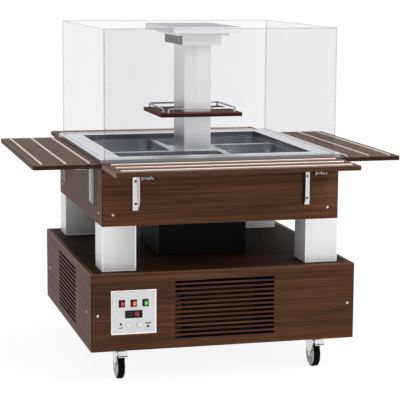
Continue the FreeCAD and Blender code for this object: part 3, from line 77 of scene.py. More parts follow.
class NodeTree:
    """A node tree that is built up step by step. Most helpers take sockets or numbers and return a socket."""

    def __init__(self, data):
        data.use_nodes = True
        self.data = data
        self.tree = data.node_tree

    def add(self, kind, inputs=None, **settings):
        node = self.tree.nodes.new(kind)
        for key, value in settings.items():
            setattr(node, key, value)
        for key, value in (inputs or {}).items():
            self.give(node, key, value)
        return node

    def give(self, node, key, value):
        """Links a socket to an input, or sets the input to a number or colour."""
        if isinstance(value, bpy.types.NodeSocket):
            self.tree.links.new(value, node.inputs[key])
        else:
            node.inputs[key].default_value = value

    def math(self, operation, first, second=0.0):
        return self.add("ShaderNodeMath", {0: first, 1: second}, operation=operation).outputs[0]

    def times(self, first, second):
        return self.math("MULTIPLY", first, second)

    def less(self, first, second):
        return self.math("SUBTRACT", first, second)

    def away(self, value):
        """How far a value is from 0."""
        return self.math("ABSOLUTE", value)

    def over(self, value, limit):
        """1 where a value is over a limit, else 0."""
        return self.math("GREATER_THAN", value, limit)

    def under(self, value, limit):
        """1 where a value is under a limit, else 0."""
        return self.math("LESS_THAN", value, limit)

    def most(self, first, *others):
        """The highest value. Between ones and zeros it means "or", as times means "and"."""
        for other in others:
            first = self.math("MAXIMUM", first, other)
        return first

    def least(self, first, *others):
        for other in others:
            first = self.math("MINIMUM", first, other)
        return first

    def reach(self, first, second):
        """How far a point with these two coordinates is from 0."""
        return self.math("SQRT", self.math("ADD", self.times(first, first), self.times(second, second)))

    def weigh(self, *pairs):
        """The sum of values, each times its weight: (value, weight), ..."""
        total, *rest = [self.times(value, weight) for value, weight in pairs]
        for part in rest:
            total = self.math("ADD", total, part)
        return total

    def mix(self, factor, first, second):
        """A number between two numbers."""
        return self.add("ShaderNodeMix", {0: factor, 2: first, 3: second}, data_type="FLOAT").outputs[0]

    def blend(self, factor, first, second):
        """A colour between two colours."""
        return self.add("ShaderNodeMix", {0: factor, 6: first, 7: second}, data_type="RGBA").outputs[2]

    def span(self, factor, low, high, start=0.0, end=1.0):
        """A factor from start to end as a number from low to high."""
        return self.add("ShaderNodeMapRange", {"Value": factor, "From Min": start, "From Max": end,
                                               "To Min": low, "To Max": high}).outputs["Result"]

    def ramp(self, factor, *stops):
        """Colours at places along a factor: (place, colour), ..."""
        node = self.add("ShaderNodeValToRGB", {"Fac": factor})
        ramp = node.color_ramp
        while len(ramp.elements) < len(stops):
            ramp.elements.new(0.5)
        for element, (place, colour) in zip(ramp.elements, stops):
            element.position = place
            element.color = colour
        return node.outputs["Color"]

    def parts(self, kind="Object"):
        """The X, Y and Z of the place on the object in metres, or of its "Normal"."""
        return self.add("ShaderNodeSeparateXYZ", {0: self.add("ShaderNodeTexCoord").outputs[kind]}).outputs

    def faces(self, axis):
        """1 on faces that look along an axis, either way, else 0."""
        return self.over(self.away(self.parts("Normal")[axis]), TURNED)

    def upright(self):
        """1 on upright faces, else 0."""
        return self.under(self.away(self.parts("Normal")["Z"]), 0.5)

    def place(self, scale=(1, 1, 1), vector=None):
        """The place on the object, or another vector, stretched by scale."""
        if vector is None:
            vector = self.add("ShaderNodeTexCoord").outputs["Object"]
        return self.add("ShaderNodeMapping", {"Vector": vector, "Scale": scale}).outputs["Vector"]

    def noise(self, vector, scale, detail, rough):
        return self.add("ShaderNodeTexNoise", {"Vector": vector, "Scale": scale, "Detail": detail,
                                               "Roughness": rough}).outputs["Fac"]


class Material(NodeTree):
    """A Principled material."""

    def __init__(self, name, colour, rough, metal=0.0, specular=0.5):
        super().__init__(bpy.data.materials.new(name))
        self.shader = self.tree.nodes["Principled BSDF"]
        self.colour(colour)
        self.rough(rough)
        self.give(self.shader, "Metallic", metal)
        self.give(self.shader, "Specular IOR Level", specular)

    def colour(self, value):
        self.give(self.shader, "Base Color", value)

    def rough(self, value):
        self.give(self.shader, "Roughness", value)

    def bump(self, height, strength, distance):
        node = self.add("ShaderNodeBump", {"Height": height, "Strength": strength, "Distance": distance})
        self.give(self.shader, "Normal", node.outputs["Normal"])

    def glow(self, colour, strength):
        self.give(self.shader, "Emission Color", colour)
        self.give(self.shader, "Emission Strength", strength)


# ---------------------------------------------------------------- kinds of material

WALNUT = (tone(60, 37, 23), tone(79, 50, 33), tone(97, 64, 44))


def wood(name, along="auto", tones=WALNUT, rough=0.5, specular=0.07, box=None, grey=None, edges=None):
    """Walnut veneer with straight fine grain. It runs along x or y, or level on whichever side it faces.

    tones are the dark, middle and light colours of the grain. box is (half width, top) of a box of boards.
    grey is a painted sheen over the grain. edges is (front, end): the colours of a board's edges that face
    along y and along x; on the trays the edges that face along x hold painted sheen, darker on the rear tray
    as painted shade.
    """
    dark, middle, light = tones
    m = Material(name, middle, rough, 0.0, specular)
    parts, faces_x = m.parts(), m.faces("X")
    side = {"auto": faces_x, "y": 1.0, "x": 0.0}[along]
    length = m.mix(side, parts["X"], parts["Y"])
    across = m.mix(side, parts["Y"], parts["X"])
    line = m.add("ShaderNodeCombineXYZ", {0: length, 1: across, 2: parts["Z"]}).outputs[0]
    drift = m.times(m.noise(m.place((0.9, 2.0, 2.0), line), 1.0, 2.0, 0.5), 0.03)
    shift = m.add("ShaderNodeCombineXYZ", {1: drift, 2: drift}).outputs[0]
    bend = m.add("ShaderNodeVectorMath", {0: line, 1: shift}, operation="ADD").outputs[0]
    streaks = m.noise(m.place((0.9, 60, 60), bend), 1.0, 4.0, 0.6)
    fine = m.noise(m.place((1.6, 150, 150), bend), 1.0, 3.0, 0.6)
    fibres = m.noise(m.place((14, 520, 520), bend), 1.0, 2.0, 0.6)
    patches = m.noise(m.place((0.8, 5, 5), line), 1.3, 2.0, 0.5)
    shade = m.weigh((streaks, 0.3), (fine, 0.45), (patches, 0.25))
    base = m.ramp(shade, (0.40, dark), (0.5, middle), (0.60, light))
    base = m.blend(m.span(fibres, 0.0, 0.3, 0.4, 0.75), base, dark)
    if box:
        base = box_of_boards(m, base, shade, length, *box)
    # painted sheen over the grain
    if grey:
        base = m.blend(m.span(fine, 0.2, 0.45, 0.3, 0.7), base, grey)
    # board edges; on the trays their colours are painted sheen and shade
    if edges:
        trim = m.blend(m.span(fine, 0.0, 0.35), m.blend(faces_x, *edges), dark)
        base = m.blend(m.upright(), base, trim)
    m.colour(base)
    m.rough(m.span(fibres, rough - 0.06, rough + 0.1))
    m.bump(fibres, 0.12, 0.0004)
    return m.data


def box_of_boards(m, base, shade, length, half, top):
    """The wood of a box of boards, from its middle to half on each side, and up to top.

    The left and right boards are painted greyer as a painted sheen. Mitre joints have fine lines, dark on the
    front faces and a painted highlight on the side faces; upper edges have a painted highlight line, and the
    louvre slots are painted black inside as painted shade.
    """
    joint_width, top_highlight_width, skin = 0.003, 0.0035, 0.0004
    parts, faces_x = m.parts(), m.faces("X")
    # painted sheen: the left and right boards are greyer
    base = m.blend(faces_x, base, m.ramp(shade, (0.36, tone(80, 50, 40)), (0.64, tone(112, 75, 61))))
    # mitre joints: a dark line on the front faces, a painted highlight on the side faces
    joint = m.over(m.away(length), half - joint_width)
    base = m.blend(joint, base, m.blend(faces_x, tone(24, 12, 7), tone(150, 116, 104)))
    # painted highlight along the upper edges
    rim = m.over(parts["Z"], top - top_highlight_width)
    base = m.blend(rim, base, m.blend(faces_x, tone(98, 64, 42), tone(168, 134, 122)))
    # painted shade: the insides of the louvre slots are black
    out_x, out_y = m.away(parts["X"]), m.away(parts["Y"])
    in_louvres = m.times(m.under(m.least(out_x, out_y), LOUVRES_HALF), m.under(parts["Z"], LOUVRES_TOP))
    behind = m.under(m.most(out_x, out_y), half - skin)
    return m.blend(m.times(in_louvres, behind), base, tone(10, 7, 6))


def brushed(m, along):
    """Fine brush lines along one axis, and soft clouds."""
    stretch = {"x": (3, 700, 700), "y": (700, 3, 700), "z": (700, 700, 3)}[along]
    return m.noise(m.place(stretch), 1.0, 3.0, 0.6), m.noise(m.place((4, 4, 4)), 1.0, 3.0, 0.5)


def steel(name, colour, rough, along, strength=0.5, streak=0.06, bands=0.0, polished=None, side=None,
          fade=None, walls=None):
    """Brushed stainless steel, its brush lines running along one axis.

    strength is that of the bump, streak the difference in colour, and bands the share of broad stripes.
    polished is (low, high): heights between which a painted white highlight at the foot fades out. side
    is the darker colour, painted shade, of faces that look left and right. fade is (low, high, shares):
    heights between which that painted shade's share changes. walls is a lighter colour, painted light, for
    all other faces on the left and right walls, and then only those walls have the side colour, as painted
    shade, dull and not metallic.
    """
    m = Material(name, colour, rough, 1.0)
    parts = m.parts()
    lines, clouds = brushed(m, along)
    shade = m.weigh((lines, 0.65), (clouds, 0.35))
    if bands:
        wide = m.noise(m.place((26, 26, 1.2)), 1.0, 1.0, 0.4)
        shade = m.weigh((shade, 1 - bands), (wide, bands))
    base = m.ramp(shade, (0.35, scaled(colour, 1 - streak * 2)), (0.65, scaled(colour, 1 + streak)))
    gloss = m.span(lines, rough - 0.05, rough + 0.08)
    # painted highlight: the steel turns white towards the foot
    if polished:
        base = m.blend(m.span(parts["Z"], 1.0, 0.0, *polished), base, WHITE)
    # painted shade on faces that look left and right
    if side:
        turned = m.faces("X")
        if fade:
            low, high, shares = fade
            turned = m.times(turned, m.span(parts["Z"], *shares, low, high))
        # on the left and right walls: other faces painted lighter as painted light, side faces painted dark,
        # dull and not metallic as painted shade
        if walls:
            on_walls = m.over(m.away(parts["X"]), m.away(parts["Y"]))
            base = m.blend(on_walls, base, walls)
            turned = m.times(turned, on_walls)
            gloss = m.most(gloss, m.times(turned, 0.9))
            m.give(m.shader, "Metallic", m.span(turned, 1.0, 0.0))
            m.give(m.shader, "Specular IOR Level", 0.05)
        base = m.blend(turned, base, side)
    m.colour(base)
    m.rough(gloss)
    m.bump(lines, 0.05 * strength, 0.0002)
    return m.data


def worktop():
    """Brushed worktop frame: bright land, an outer skirt made duller as painted shade, and a dark lip round
    the well that is painted shade.
    """
    m = Material("WorktopSteel", tone(236, 238, 240), 0.34, 1.0)
    parts, skirt = m.parts(), m.upright()
    lines, clouds = brushed(m, "x")
    shade = m.weigh((lines, 0.6), (clouds, 0.4))
    land = m.ramp(shade, (0.35, tone(220, 222, 225)), (0.65, tone(240, 241, 243)))
    # painted shade: upright faces greyer, darkest on the lip round the well
    out = m.most(m.away(parts["X"]), m.away(parts["Y"]))
    lip = m.times(skirt, m.under(out, WELL_EDGE))
    m.colour(m.blend(lip, m.blend(skirt, land, tone(156, 157, 160)), tone(106, 108, 113)))
    m.rough(m.span(lines, 0.30, 0.42))
    m.bump(lines, 0.02, 0.0002)
    return m.data


def satin_post():
    """Satin steel posts: the left ones carry painted shade inward and down; each face has a painted highlight
    along its edges, and faces that look left and right are painted lighter.
    """
    shaded_up_to, edge_highlight_width = 0.66, 0.0045
    m = Material("PostSteel", tone(214, 214, 213), 0.4, 0.35)
    parts, side = m.parts(), m.faces("X")
    across = m.mix(side, m.away(parts["X"]), m.away(parts["Y"]))
    bands = m.noise(m.place((14, 14, 2.5)), 1.0, 2.0, 0.5)
    lines = m.noise(m.place((600, 600, 5)), 1.0, 3.0, 0.6)
    # painted shade inward and down on the left posts
    painted_shade = m.times(m.span(across, 0.0, 1.0, POST_INSIDE, CABINET_FACE),
                    m.span(parts["Z"], 0.35, 1.0, BASE_TOP, shaded_up_to))
    painted_shade = m.most(painted_shade, m.times(m.over(parts["X"], 0.0), 0.8))
    shade = m.weigh((bands, 0.25), (lines, 0.1), (painted_shade, 0.6))
    face = m.ramp(shade, (0.15, tone(184, 184, 182)), (0.7, tone(232, 232, 231)))
    # painted highlight along the edges of each face
    edge = m.least(m.less(across, POST_INSIDE), m.less(CABINET_FACE, across), m.less(parts["Z"], BASE_TOP))
    face = m.blend(m.under(edge, edge_highlight_width), face, tone(242, 242, 241))
    # painted light: faces that look left and right are lighter and less metallic
    m.colour(m.blend(side, face, tone(250, 250, 249)))
    m.give(m.shader, "Metallic", m.span(side, 0.35, 0.2))
    m.rough(m.span(lines, 0.36, 0.48))
    m.bump(lines, 0.03, 0.0002)
    return m.data


def paint(name, colour, rough, metal=0.0, spread=0.05, specular=0.5):
    """Paint, lacquer or moulded plastic with a fine texture and slight unevenness."""
    m = Material(name, colour, rough, metal, specular)
    clouds = m.noise(m.place(), 7.0, 3.0, 0.55)
    grain = m.noise(m.place(), 900, 2.0, 0.5)
    m.colour(m.ramp(clouds, (0.3, scaled(colour, 1 - spread)), (0.7, scaled(colour, 1 + spread))))
    m.rough(m.span(grain, rough - 0.05, rough + 0.07))
    m.bump(grain, 0.04, 0.0003)
    return m.data


def lit(name, colour, strength):
    """A lamp segment behind the display's window."""
    m = Material(name, colour, 0.4)
    cloud = m.noise(m.place(), 300, 2.0, 0.5)
    m.colour(m.ramp(cloud, (0.3, scaled(colour, 0.85)), (0.7, colour)))
    m.glow(colour, strength)
    return m.data


# what each pane lets through; the differences between panes are painted reflection
FRONT_PANE_LEFT, FRONT_PANE_RIGHT = (0.90, 0.90, 0.912, 1), (0.96, 0.96, 0.964, 1)
SIDE_PANES, REAR_PANE = (0.965, 0.965, 0.97, 1), (0.992, 0.992, 0.992, 1)
TOP_PANE = (0.996, 0.996, 0.996, 1)


def glass(node):
    """Clear glass. Each pane is greyed by a painted reflection, the front pane most and above all at its
    left. Cut edges show as thin lines.
    """
    low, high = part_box(node)
    rim = 0.0058
    m = Material("ClearGlass", tone(104, 106, 120), 0.04, 0.0, 0.3)
    parts, along = m.parts(), m.faces("Y")
    smears = m.noise(m.place(), 9.0, 3.0, 0.6)
    # painted reflection: each pane greyed by its own amount
    clear = m.blend(m.faces("Z"), m.blend(along, SIDE_PANES, REAR_PANE), TOP_PANE)
    across = m.span(parts["X"], 0.0, 1.0, low.x, high.x)
    front = m.ramp(across, (0.1, FRONT_PANE_LEFT), (0.8, FRONT_PANE_RIGHT))
    clear = m.blend(m.times(along, m.under(parts["Y"], 0.0)), clear, front)
    edge_x = m.over(m.away(parts["X"]), high.x - rim)
    edge_y = m.over(m.away(parts["Y"]), high.y - rim)
    edge_z = m.most(m.over(parts["Z"], high.z - rim), m.under(parts["Z"], low.z + rim * 0.6))
    edge = m.over(m.math("ADD", m.math("ADD", edge_x, edge_y), edge_z), 1.5)
    facing = m.add("ShaderNodeLayerWeight", {"Blend": 0.35}).outputs["Facing"]
    cover = m.math("ADD", m.span(facing, 0.012, 0.05, 0.30, 1.0), m.span(smears, -0.006, 0.006))
    cover = m.most(cover, m.times(edge, 0.3))
    m.colour(m.blend(edge, tone(104, 106, 120), tone(120, 123, 130)))
    m.rough(m.span(smears, 0.02, 0.06))
    through = m.add("ShaderNodeBsdfTransparent", {"Color": clear}).outputs[0]
    mixed = m.add("ShaderNodeMixShader", {0: cover, 1: through, 2: m.shader.outputs[0]}).outputs[0]
    m.give(m.tree.nodes["Material Output"], "Surface", mixed)
    return m.data


def wheel(node):
    """Black tyre round a light grey hub disc, told apart by the distance from the axle."""
    low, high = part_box(node)
    middle = (low + high) / 2
    m = Material(f"Wheel_{node}", tone(8, 8, 9), 0.7, 0.0, 0.06)
    parts = m.parts()
    radius = m.reach(m.less(parts["Y"], middle.y), m.less(parts["Z"], middle.z))
    hub = m.under(radius, HUB_RADIUS)
    dust = m.noise(m.place(), 25, 3.0, 0.6)
    grain = m.noise(m.place(), 600, 3.0, 0.6)
    tyre = m.ramp(dust, (0.3, tone(2, 2, 3)), (0.75, tone(9, 9, 10)))
    disc = m.ramp(dust, (0.3, tone(238, 238, 236)), (0.75, tone(254, 254, 252)))
    m.colour(m.blend(hub, tyre, disc))
    m.rough(m.mix(hub, m.span(grain, 0.65, 0.85), m.span(grain, 0.3, 0.42)))
    m.bump(grain, 0.15, 0.0004)
    return m.data


def key(name, node, bright, deep):
    """A rocker key: a lens painted brightest in its middle as a painted glow, with black cheeks at its left,
    top and foot that are painted shade.
    """
    low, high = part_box(node)
    size, middle = high - low, (low + high) / 2
    m = Material(name, bright, 0.3, 0.0, 0.25)
    parts = m.parts()
    # painted shade at the key's left, top and foot
    painted_shade_cheek = m.most(m.under(parts["X"], low.x + size.x * 0.27), m.over(parts["Z"], high.z - size.z * 0.10),
                   m.under(parts["Z"], low.z + size.z * 0.06))
    # painted glow: the lens is lighter towards its middle
    off_x = m.times(m.less(parts["X"], middle.x + size.x * 0.12), 2 / size.x)
    off_z = m.times(m.less(parts["Z"], middle.z), 2 / size.z)
    cloud = m.noise(m.place(), 90, 2.0, 0.5)
    painted_glow_falloff = m.math("ADD", m.reach(off_x, off_z), m.times(cloud, 0.3))
    lens = m.ramp(painted_glow_falloff, (0.25, bright), (1.0, deep))
    m.colour(m.blend(painted_shade_cheek, lens, tone(6, 6, 7)))
    m.bump(m.noise(m.place(), 900, 1.0, 0.5), 0.05, 0.0003)
    return m.data


def bezels():
    """Black switch frames above, pale button collars below."""
    low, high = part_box("switch_bezels")
    m = Material("SwitchBezels", tone(12, 12, 13), 0.4, 0.0, 0.25)
    collars = m.under(m.parts()["Z"], low.z + (high.z - low.z) * 0.4)
    grain = m.noise(m.place(), 700, 2.0, 0.5)
    dark = m.ramp(grain, (0.3, tone(8, 8, 9)), (0.7, tone(16, 16, 17)))
    m.colour(m.blend(collars, dark, tone(214, 212, 211)))
    m.bump(grain, 0.05, 0.0003)
    return m.data


def canopy():
    """White edges round a grey top, as on a cap with a tinted cover."""
    m = Material("CanopyCap", tone(252, 252, 253), 0.35, 0.0, 0.4)
    upward = m.over(m.parts("Normal")["Z"], 0.7)
    cloud = m.noise(m.place((6, 200, 6)), 1.0, 3.0, 0.5)
    top = m.ramp(cloud, (0.3, tone(130, 129, 137)), (0.7, tone(148, 147, 155)))
    m.colour(m.blend(upward, tone(252, 252, 253), top))
    m.rough(m.span(cloud, 0.3, 0.42))
    return m.data


def core():
    """Black sheet with a paler band under the cabinet."""
    band_height = 0.026
    m = Material("CoreSheet", tone(12, 12, 13), 0.55, 0.0, 0.12)
    band = m.over(m.parts()["Z"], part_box("central_core")[1].z - band_height)
    grain = m.noise(m.place(), 400, 3.0, 0.6)
    dark = m.ramp(grain, (0.3, tone(8, 8, 9)), (0.7, tone(16, 16, 17)))
    m.colour(m.blend(band, dark, tone(52, 52, 54)))
    m.rough(m.span(grain, 0.45, 0.65))
    m.bump(grain, 0.05, 0.0003)
    return m.data


def fins():
    """The condenser's stack of thin fins, seen as fine upright lines."""
    m = Material("CondenserFins", tone(34, 34, 36), 0.6, 0.2)
    wave = m.add("ShaderNodeTexWave", {"Vector": m.place((1, 0, 0)), "Scale": 60.0},
                 wave_type="BANDS", bands_direction="X").outputs["Fac"]
    m.colour(m.ramp(wave, (0.25, tone(10, 10, 11)), (0.6, tone(40, 38, 37))))
    m.bump(wave, 0.6, 0.002)
    return m.data


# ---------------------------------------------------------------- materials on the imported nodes

def dress(material, *names):
    """Puts a material on whole CAD nodes."""
    for name in names:
        mesh = nodes[name].data
        if not mesh.materials:
            mesh.materials.append(material)
        for slot in nodes[name].material_slots:
            slot.material = material


# a lighter copy of the walnut for the upper boards: painted light that offsets the trays' shadow on them
CABINET_WALNUT_PAINTED_LIGHT = (tone(70, 43, 27), tone(92, 59, 39), tone(113, 76, 52))
DECK_WALNUT = (tone(32, 16, 9), tone(47, 27, 17), tone(64, 39, 26))
SHELF_WALNUT = (tone(56, 28, 15), tone(80, 44, 26), tone(104, 62, 40))
# grey is a painted sheen on the tray tops
TRAY = {"rough": 0.6, "specular": 0.15, "grey": tone(98, 81, 75)}
TRAY_EDGE = tone(74, 47, 29)
dress(wood("WalnutBase", box=(BASE_FACE, BASE_TOP)), "base_front_panel", "base_louvred_panels")
dress(wood("WalnutUpper", tones=CABINET_WALNUT_PAINTED_LIGHT, box=(CABINET_FACE, CABINET_TOP)),
      "upper_front_panel", "upper_plain_panels")
dress(wood("DeckWalnut", "x", DECK_WALNUT, 0.65, 0.06), "base_deck")
dress(wood("ShelfWalnut", "x", SHELF_WALNUT, specular=0.06, edges=(tone(70, 26, 10), tone(76, 36, 20))),
      "shelf_board")
# the pale end colour on the front tray is painted sheen, and its darker copy on the rear tray is painted
# shade
dress(wood("WalnutAlongX", "x", edges=(TRAY_EDGE, tone(158, 126, 116)), **TRAY), "tray_board_front")
dress(wood("WalnutRearTray", "x", edges=(TRAY_EDGE, tone(92, 64, 54)), **TRAY), "tray_board_rear")
dress(wood("WalnutAlongY", "y", edges=(tone(44, 19, 9), tone(84, 62, 54)), **TRAY),
      "tray_board_left", "tray_board_right")

# column: white towards the foot is painted highlight; the darker side faces, more so lower down, are painted
# shade
dress(steel("ColumnSteel", tone(246, 246, 246), 0.34, "z", bands=0.5, polished=(0.96, 1.30),
            side=tone(170, 171, 173), fade=(0.96, 1.44, (0.92, 0.25))), "outer_column", "inner_column")
# head: the darker faces that look left and right are painted shade
dress(steel("HeadSteel", tone(252, 252, 252), 0.36, "y", side=tone(112, 112, 114),
            fade=(1.4575, 1.4580, (1.0, 0.0))), "dome_head")
dress(worktop(), "worktop_frame", "pan_divider_bars")
dress(satin_post(), "corner_posts")
dress(steel("SatinTubSteel", tone(180, 182, 186), 0.38, "x"), "well_tub")
dress(steel("PolishedPanSteel", tone(200, 202, 207), 0.22, "x", 0.3),
      *[f"pan_{corner}" for corner in CORNERS])
# wall legs: on the left and right walls lighter as painted light, with their side faces nearly black as
# painted shade
dress(steel("WallLegSteel", tone(214, 213, 211), 0.25, "z", 0.2, side=tone(24, 24, 26), walls=WHITE),
      "tray_wall_brackets")
dress(steel("BracketSteel", tone(222, 223, 226), 0.25, "z", 0.4), *[f"tray_arms_{side}" for side in SIDES])
dress(steel("WarmAnodisedStrip", tone(226, 210, 201), 0.5, "x"), "tray_strips_front", "tray_strips_rear")
# the strips on the left and right trays, the same as on the front and rear, are painted lighter as painted
# light
dress(steel("WarmAnodisedStripAlongY", tone(240, 229, 224), 0.5, "y"),
      "tray_strips_left", "tray_strips_right")
dress(steel("RailWire", tone(168, 169, 173), 0.12, "x", 0.1, 0.02), "shelf_rail")
dress(steel("PlateSteel", tone(214, 213, 214), 0.36, "x"), "control_plate")
CASTOR_STEEL = steel("CastorSteel", tone(228, 228, 226), 0.3, "z", 0.4)
dress(CASTOR_STEEL, "castor_plates", "brake_pedal_front_left", "brake_pedal_front_right",
      *[f"castor_fork_{corner}" for corner in CORNERS])
for corner in CORNERS:
    dress(wheel(f"castor_wheel_{corner}"), f"castor_wheel_{corner}")

BLACK_PLASTIC = paint("BlackPlastic", tone(9, 9, 10), 0.45, specular=0.2)
dress(BLACK_PLASTIC, "thermostat", "condenser_fan")
dress(paint("FrostedButton", tone(232, 230, 229), 0.25, spread=0.02), "button_left", "button_right")
dress(paint("BlackSheet", tone(26, 26, 28), 0.5), "base_chassis", "cabinet_floor", "compressor", "fan_shroud")
dress(paint("GreyZincSheet", tone(120, 122, 126), 0.45, 0.7), "lift_actuator")
dress(key("RedKey", "rocker_red", tone(226, 96, 116), tone(132, 16, 34)), "rocker_red")
dress(key("OrangeKey", "rocker_orange", tone(248, 176, 116), tone(188, 84, 26)), "rocker_orange")
dress(key("GreenKey", "rocker_green", tone(136, 240, 162), tone(18, 134, 52)), "rocker_green")
dress(bezels(), "switch_bezels")
dress(canopy(), "dome_canopy")
dress(core(), "central_core")
dress(fins(), "condenser")
dress(glass("dome_glass"), "dome_glass")


# ---------------------------------------------------------------- tools for small pieces

def piece(name, material, body, build, smooth=True):
    """Makes a mesh piece by build(bmesh), in the part's own frame, and lets it ride on a body."""
    mesh = bpy.data.meshes.new(name)
    shape = bmesh.new()
    build(shape)
    bmesh.ops.recalc_face_normals(shape, faces=shape.faces)
    shape.to_mesh(mesh)
    shape.free()
    thing = bpy.data.objects.new(name, mesh)
    scene.collection.objects.link(thing)
    mesh.materials.append(material)
    if smooth:
        for face in mesh.polygons:
            face.use_smooth = True
        mesh.set_sharp_from_angle(angle=math.radians(35))
    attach(thing, body)


def around(side, along, out, height):
    """A point on one of the four sides: along it, out from the middle, and up."""
    angle = {"front": 0, "right": 90, "rear": 180, "left": 270}[side]
    return Matrix.Rotation(math.radians(angle), 3, "Z") @ Vector((along, -out, height))


def bridge(shape, rings):
    """Faces between rings of equally many corners. A ring of one corner is a tip."""
    for near, far in zip(rings, rings[1:]):
        steps = max(len(near), len(far))
        for k in range(steps):
            after = (k + 1) % steps
            if len(near) == 1:
                shape.faces.new((near[0], far[k], far[after]))
            elif len(far) == 1:
                shape.faces.new((near[k], near[after], far[0]))
            else:
                shape.faces.new((near[k], near[after], far[after], far[k]))


def lathe(shape, profile, spot, direction, steps=24):
    """A turned form: (radius, height) points about a direction. A radius of 0 is a tip."""
    upright_to_direction = Vector((0, 0, 1)).rotation_difference(Vector(direction)).to_matrix().to_4x4()
    turn = Matrix.Translation(spot) @ upright_to_direction
    rings = []
    for radius, height in profile:
        angles = [2 * math.pi * k / steps for k in range(steps if radius else 1)]
        spots = [Vector((radius * math.cos(angle), radius * math.sin(angle), height)) for angle in angles]
        rings.append([shape.verts.new(turn @ point) for point in spots])
    bridge(shape, rings)


def block(shape, one, other, bevel=0.0):
    """A box between two opposite corners, its edges rounded over by bevel."""
    low = Vector([min(pair) for pair in zip(one, other)])
    size = Vector([max(pair) for pair in zip(one, other)]) - low
    made = bmesh.ops.create_cube(shape, size=1.0)["verts"]
    for corner in made:
        corner.co = Vector([low[i] + (corner.co[i] + 0.5) * size[i] for i in range(3)])
    if bevel:
        edges = list(dict.fromkeys(edge for corner in made for edge in corner.link_edges))
        bmesh.ops.bevel(shape, geom=edges, offset=bevel, segments=2, profile=0.5, affect="EDGES")


# ---------------------------------------------------------------- screws of the boards

CAP = [(0, 0), (0.006, 0), (0.006, 0.0006), (0.00516, 0.0016), (0.003, 0.0027), (0, 0.0031)]
BASE_SCREW_Z, CABINET_SCREW_Z = 0.305, 0.723
BASE_SCREW_ALONG = {"front": 0.556, "rear": 0.556, "left": 0.490, "right": 0.490}
CABINET_SCREW_ALONG = {"front": 0.477, "rear": 0.477, "left": 0.455, "right": 0.455}


def panel_screws(shape):
    """Domed caps with a narrow rim near the ends of the boards."""
    for side in SIDES:
        outward = around(side, 0, 1, 0)
        for sign in (-1, 1):
            lathe(shape, CAP, around(side, sign * BASE_SCREW_ALONG[side], BASE_FACE, BASE_SCREW_Z), outward)
            lathe(shape, CAP, around(side, sign * CABINET_SCREW_ALONG[side], CABINET_FACE, CABINET_SCREW_Z),
                  outward)


SCREW_STEEL = steel("ScrewCap", tone(205, 190, 188), 0.3, "z", 0.3)
piece("panel_screw_caps", SCREW_STEEL, "cabinet", panel_screws)


# ---------------------------------------------------------------- control panel

PLATE_LOW, PLATE_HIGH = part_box("control_plate")
PLATE_FACE = PLATE_LOW.y
SINK = 0.0001     # how deep digits and print are set into what carries them


def plate_rim(shape):
    """Rounded bead pressed round the edge of the control plate."""
    section = [(0.0, 0.0), (0.0004, 0.0014), (0.0034, 0.0014), (0.0052, 0.0)]
    rings = []
    for step, rise in section:
        y = PLATE_FACE - rise
        left, right = PLATE_LOW.x + step, PLATE_HIGH.x - step
        foot, top = PLATE_LOW.z + step, PLATE_HIGH.z - step
        corners = ((left, y, foot), (right, y, foot), (right, y, top), (left, y, top))
        rings.append([shape.verts.new(corner) for corner in corners])
    bridge(shape, rings)


# the bead is real; its steel, brighter than the plate's, is a painted highlight
RIM_STEEL = steel("PlateRimSteel", tone(246, 245, 244), 0.22, "x", 0.2, 0.02)
piece("control_plate_rim", RIM_STEEL, "cabinet", plate_rim, smooth=False)

WINDOW_LOW, WINDOW_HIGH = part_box("thermostat")
WINDOW_Z = (WINDOW_LOW.z + WINDOW_HIGH.z) / 2
# bars of a digit: middle x and z in half digit widths and heights, and whether the bar is upright
SEGMENTS = {"a": (0, 1, 0), "g": (0, 0, 0), "d": (0, -1, 0), "f": (-1, 0.5, 1), "b": (1, 0.5, 1),
            "e": (-1, -0.5, 1), "c": (1, -0.5, 1)}
DIGIT_HALF_X, DIGIT_HALF_Z, DIGIT_RISE, BAR_HALF = 0.0048, 0.0086, 0.0006, 0.0012
LIT_DIGIT_X = WINDOW_LOW.x + 0.0505
DIM_DIGITS_X = (WINDOW_LOW.x + 0.011, WINDOW_LOW.x + 0.025)
GLOW = [(0, 0), (0.0115, 0), (0.0112, 0.0003), (0, 0.0003)]


def digit(shape, middle, bars):
    """A digit of the named bars, just proud of the display's window."""
    for letter in bars:
        across, up, upright = SEGMENTS[letter]
        x, z = middle + across * DIGIT_HALF_X, WINDOW_Z + up * DIGIT_HALF_Z
        half_x = BAR_HALF if upright else DIGIT_HALF_X - BAR_HALF
        half_z = DIGIT_HALF_Z / 2 - BAR_HALF if upright else BAR_HALF
        block(shape, (x - half_x, WINDOW_LOW.y - DIGIT_RISE, z - half_z),
              (x + half_x, WINDOW_LOW.y + SINK, z + half_z))


def glow_disc(shape):
    """The red light that spreads round the lit digit."""
    lathe(shape, GLOW, (LIT_DIGIT_X, WINDOW_LOW.y, WINDOW_Z), (0, -1, 0))


def lit_digit(shape):
    digit(shape, LIT_DIGIT_X, "fgbc")


def dim_digits(shape):
    for middle in DIM_DIGITS_X:
        digit(shape, middle, "abcdefg")


def display_bezel(shape):
    """Slim raised frame round the display window."""
    low, high = WINDOW_LOW, WINDOW_HIGH
    edge, rise, sink = 0.0022, 0.0008, 0.0002
    for x0, x1, z0, z1 in ((low.x, high.x, high.z - edge, high.z), (low.x, high.x, low.z, low.z + edge),
                           (low.x, low.x + edge, low.z + edge, high.z - edge),
                           (high.x - edge, high.x, low.z + edge, high.z - edge)):
        block(shape, (x0, low.y - rise, z0), (x1, low.y + sink, z1), 0.0003)


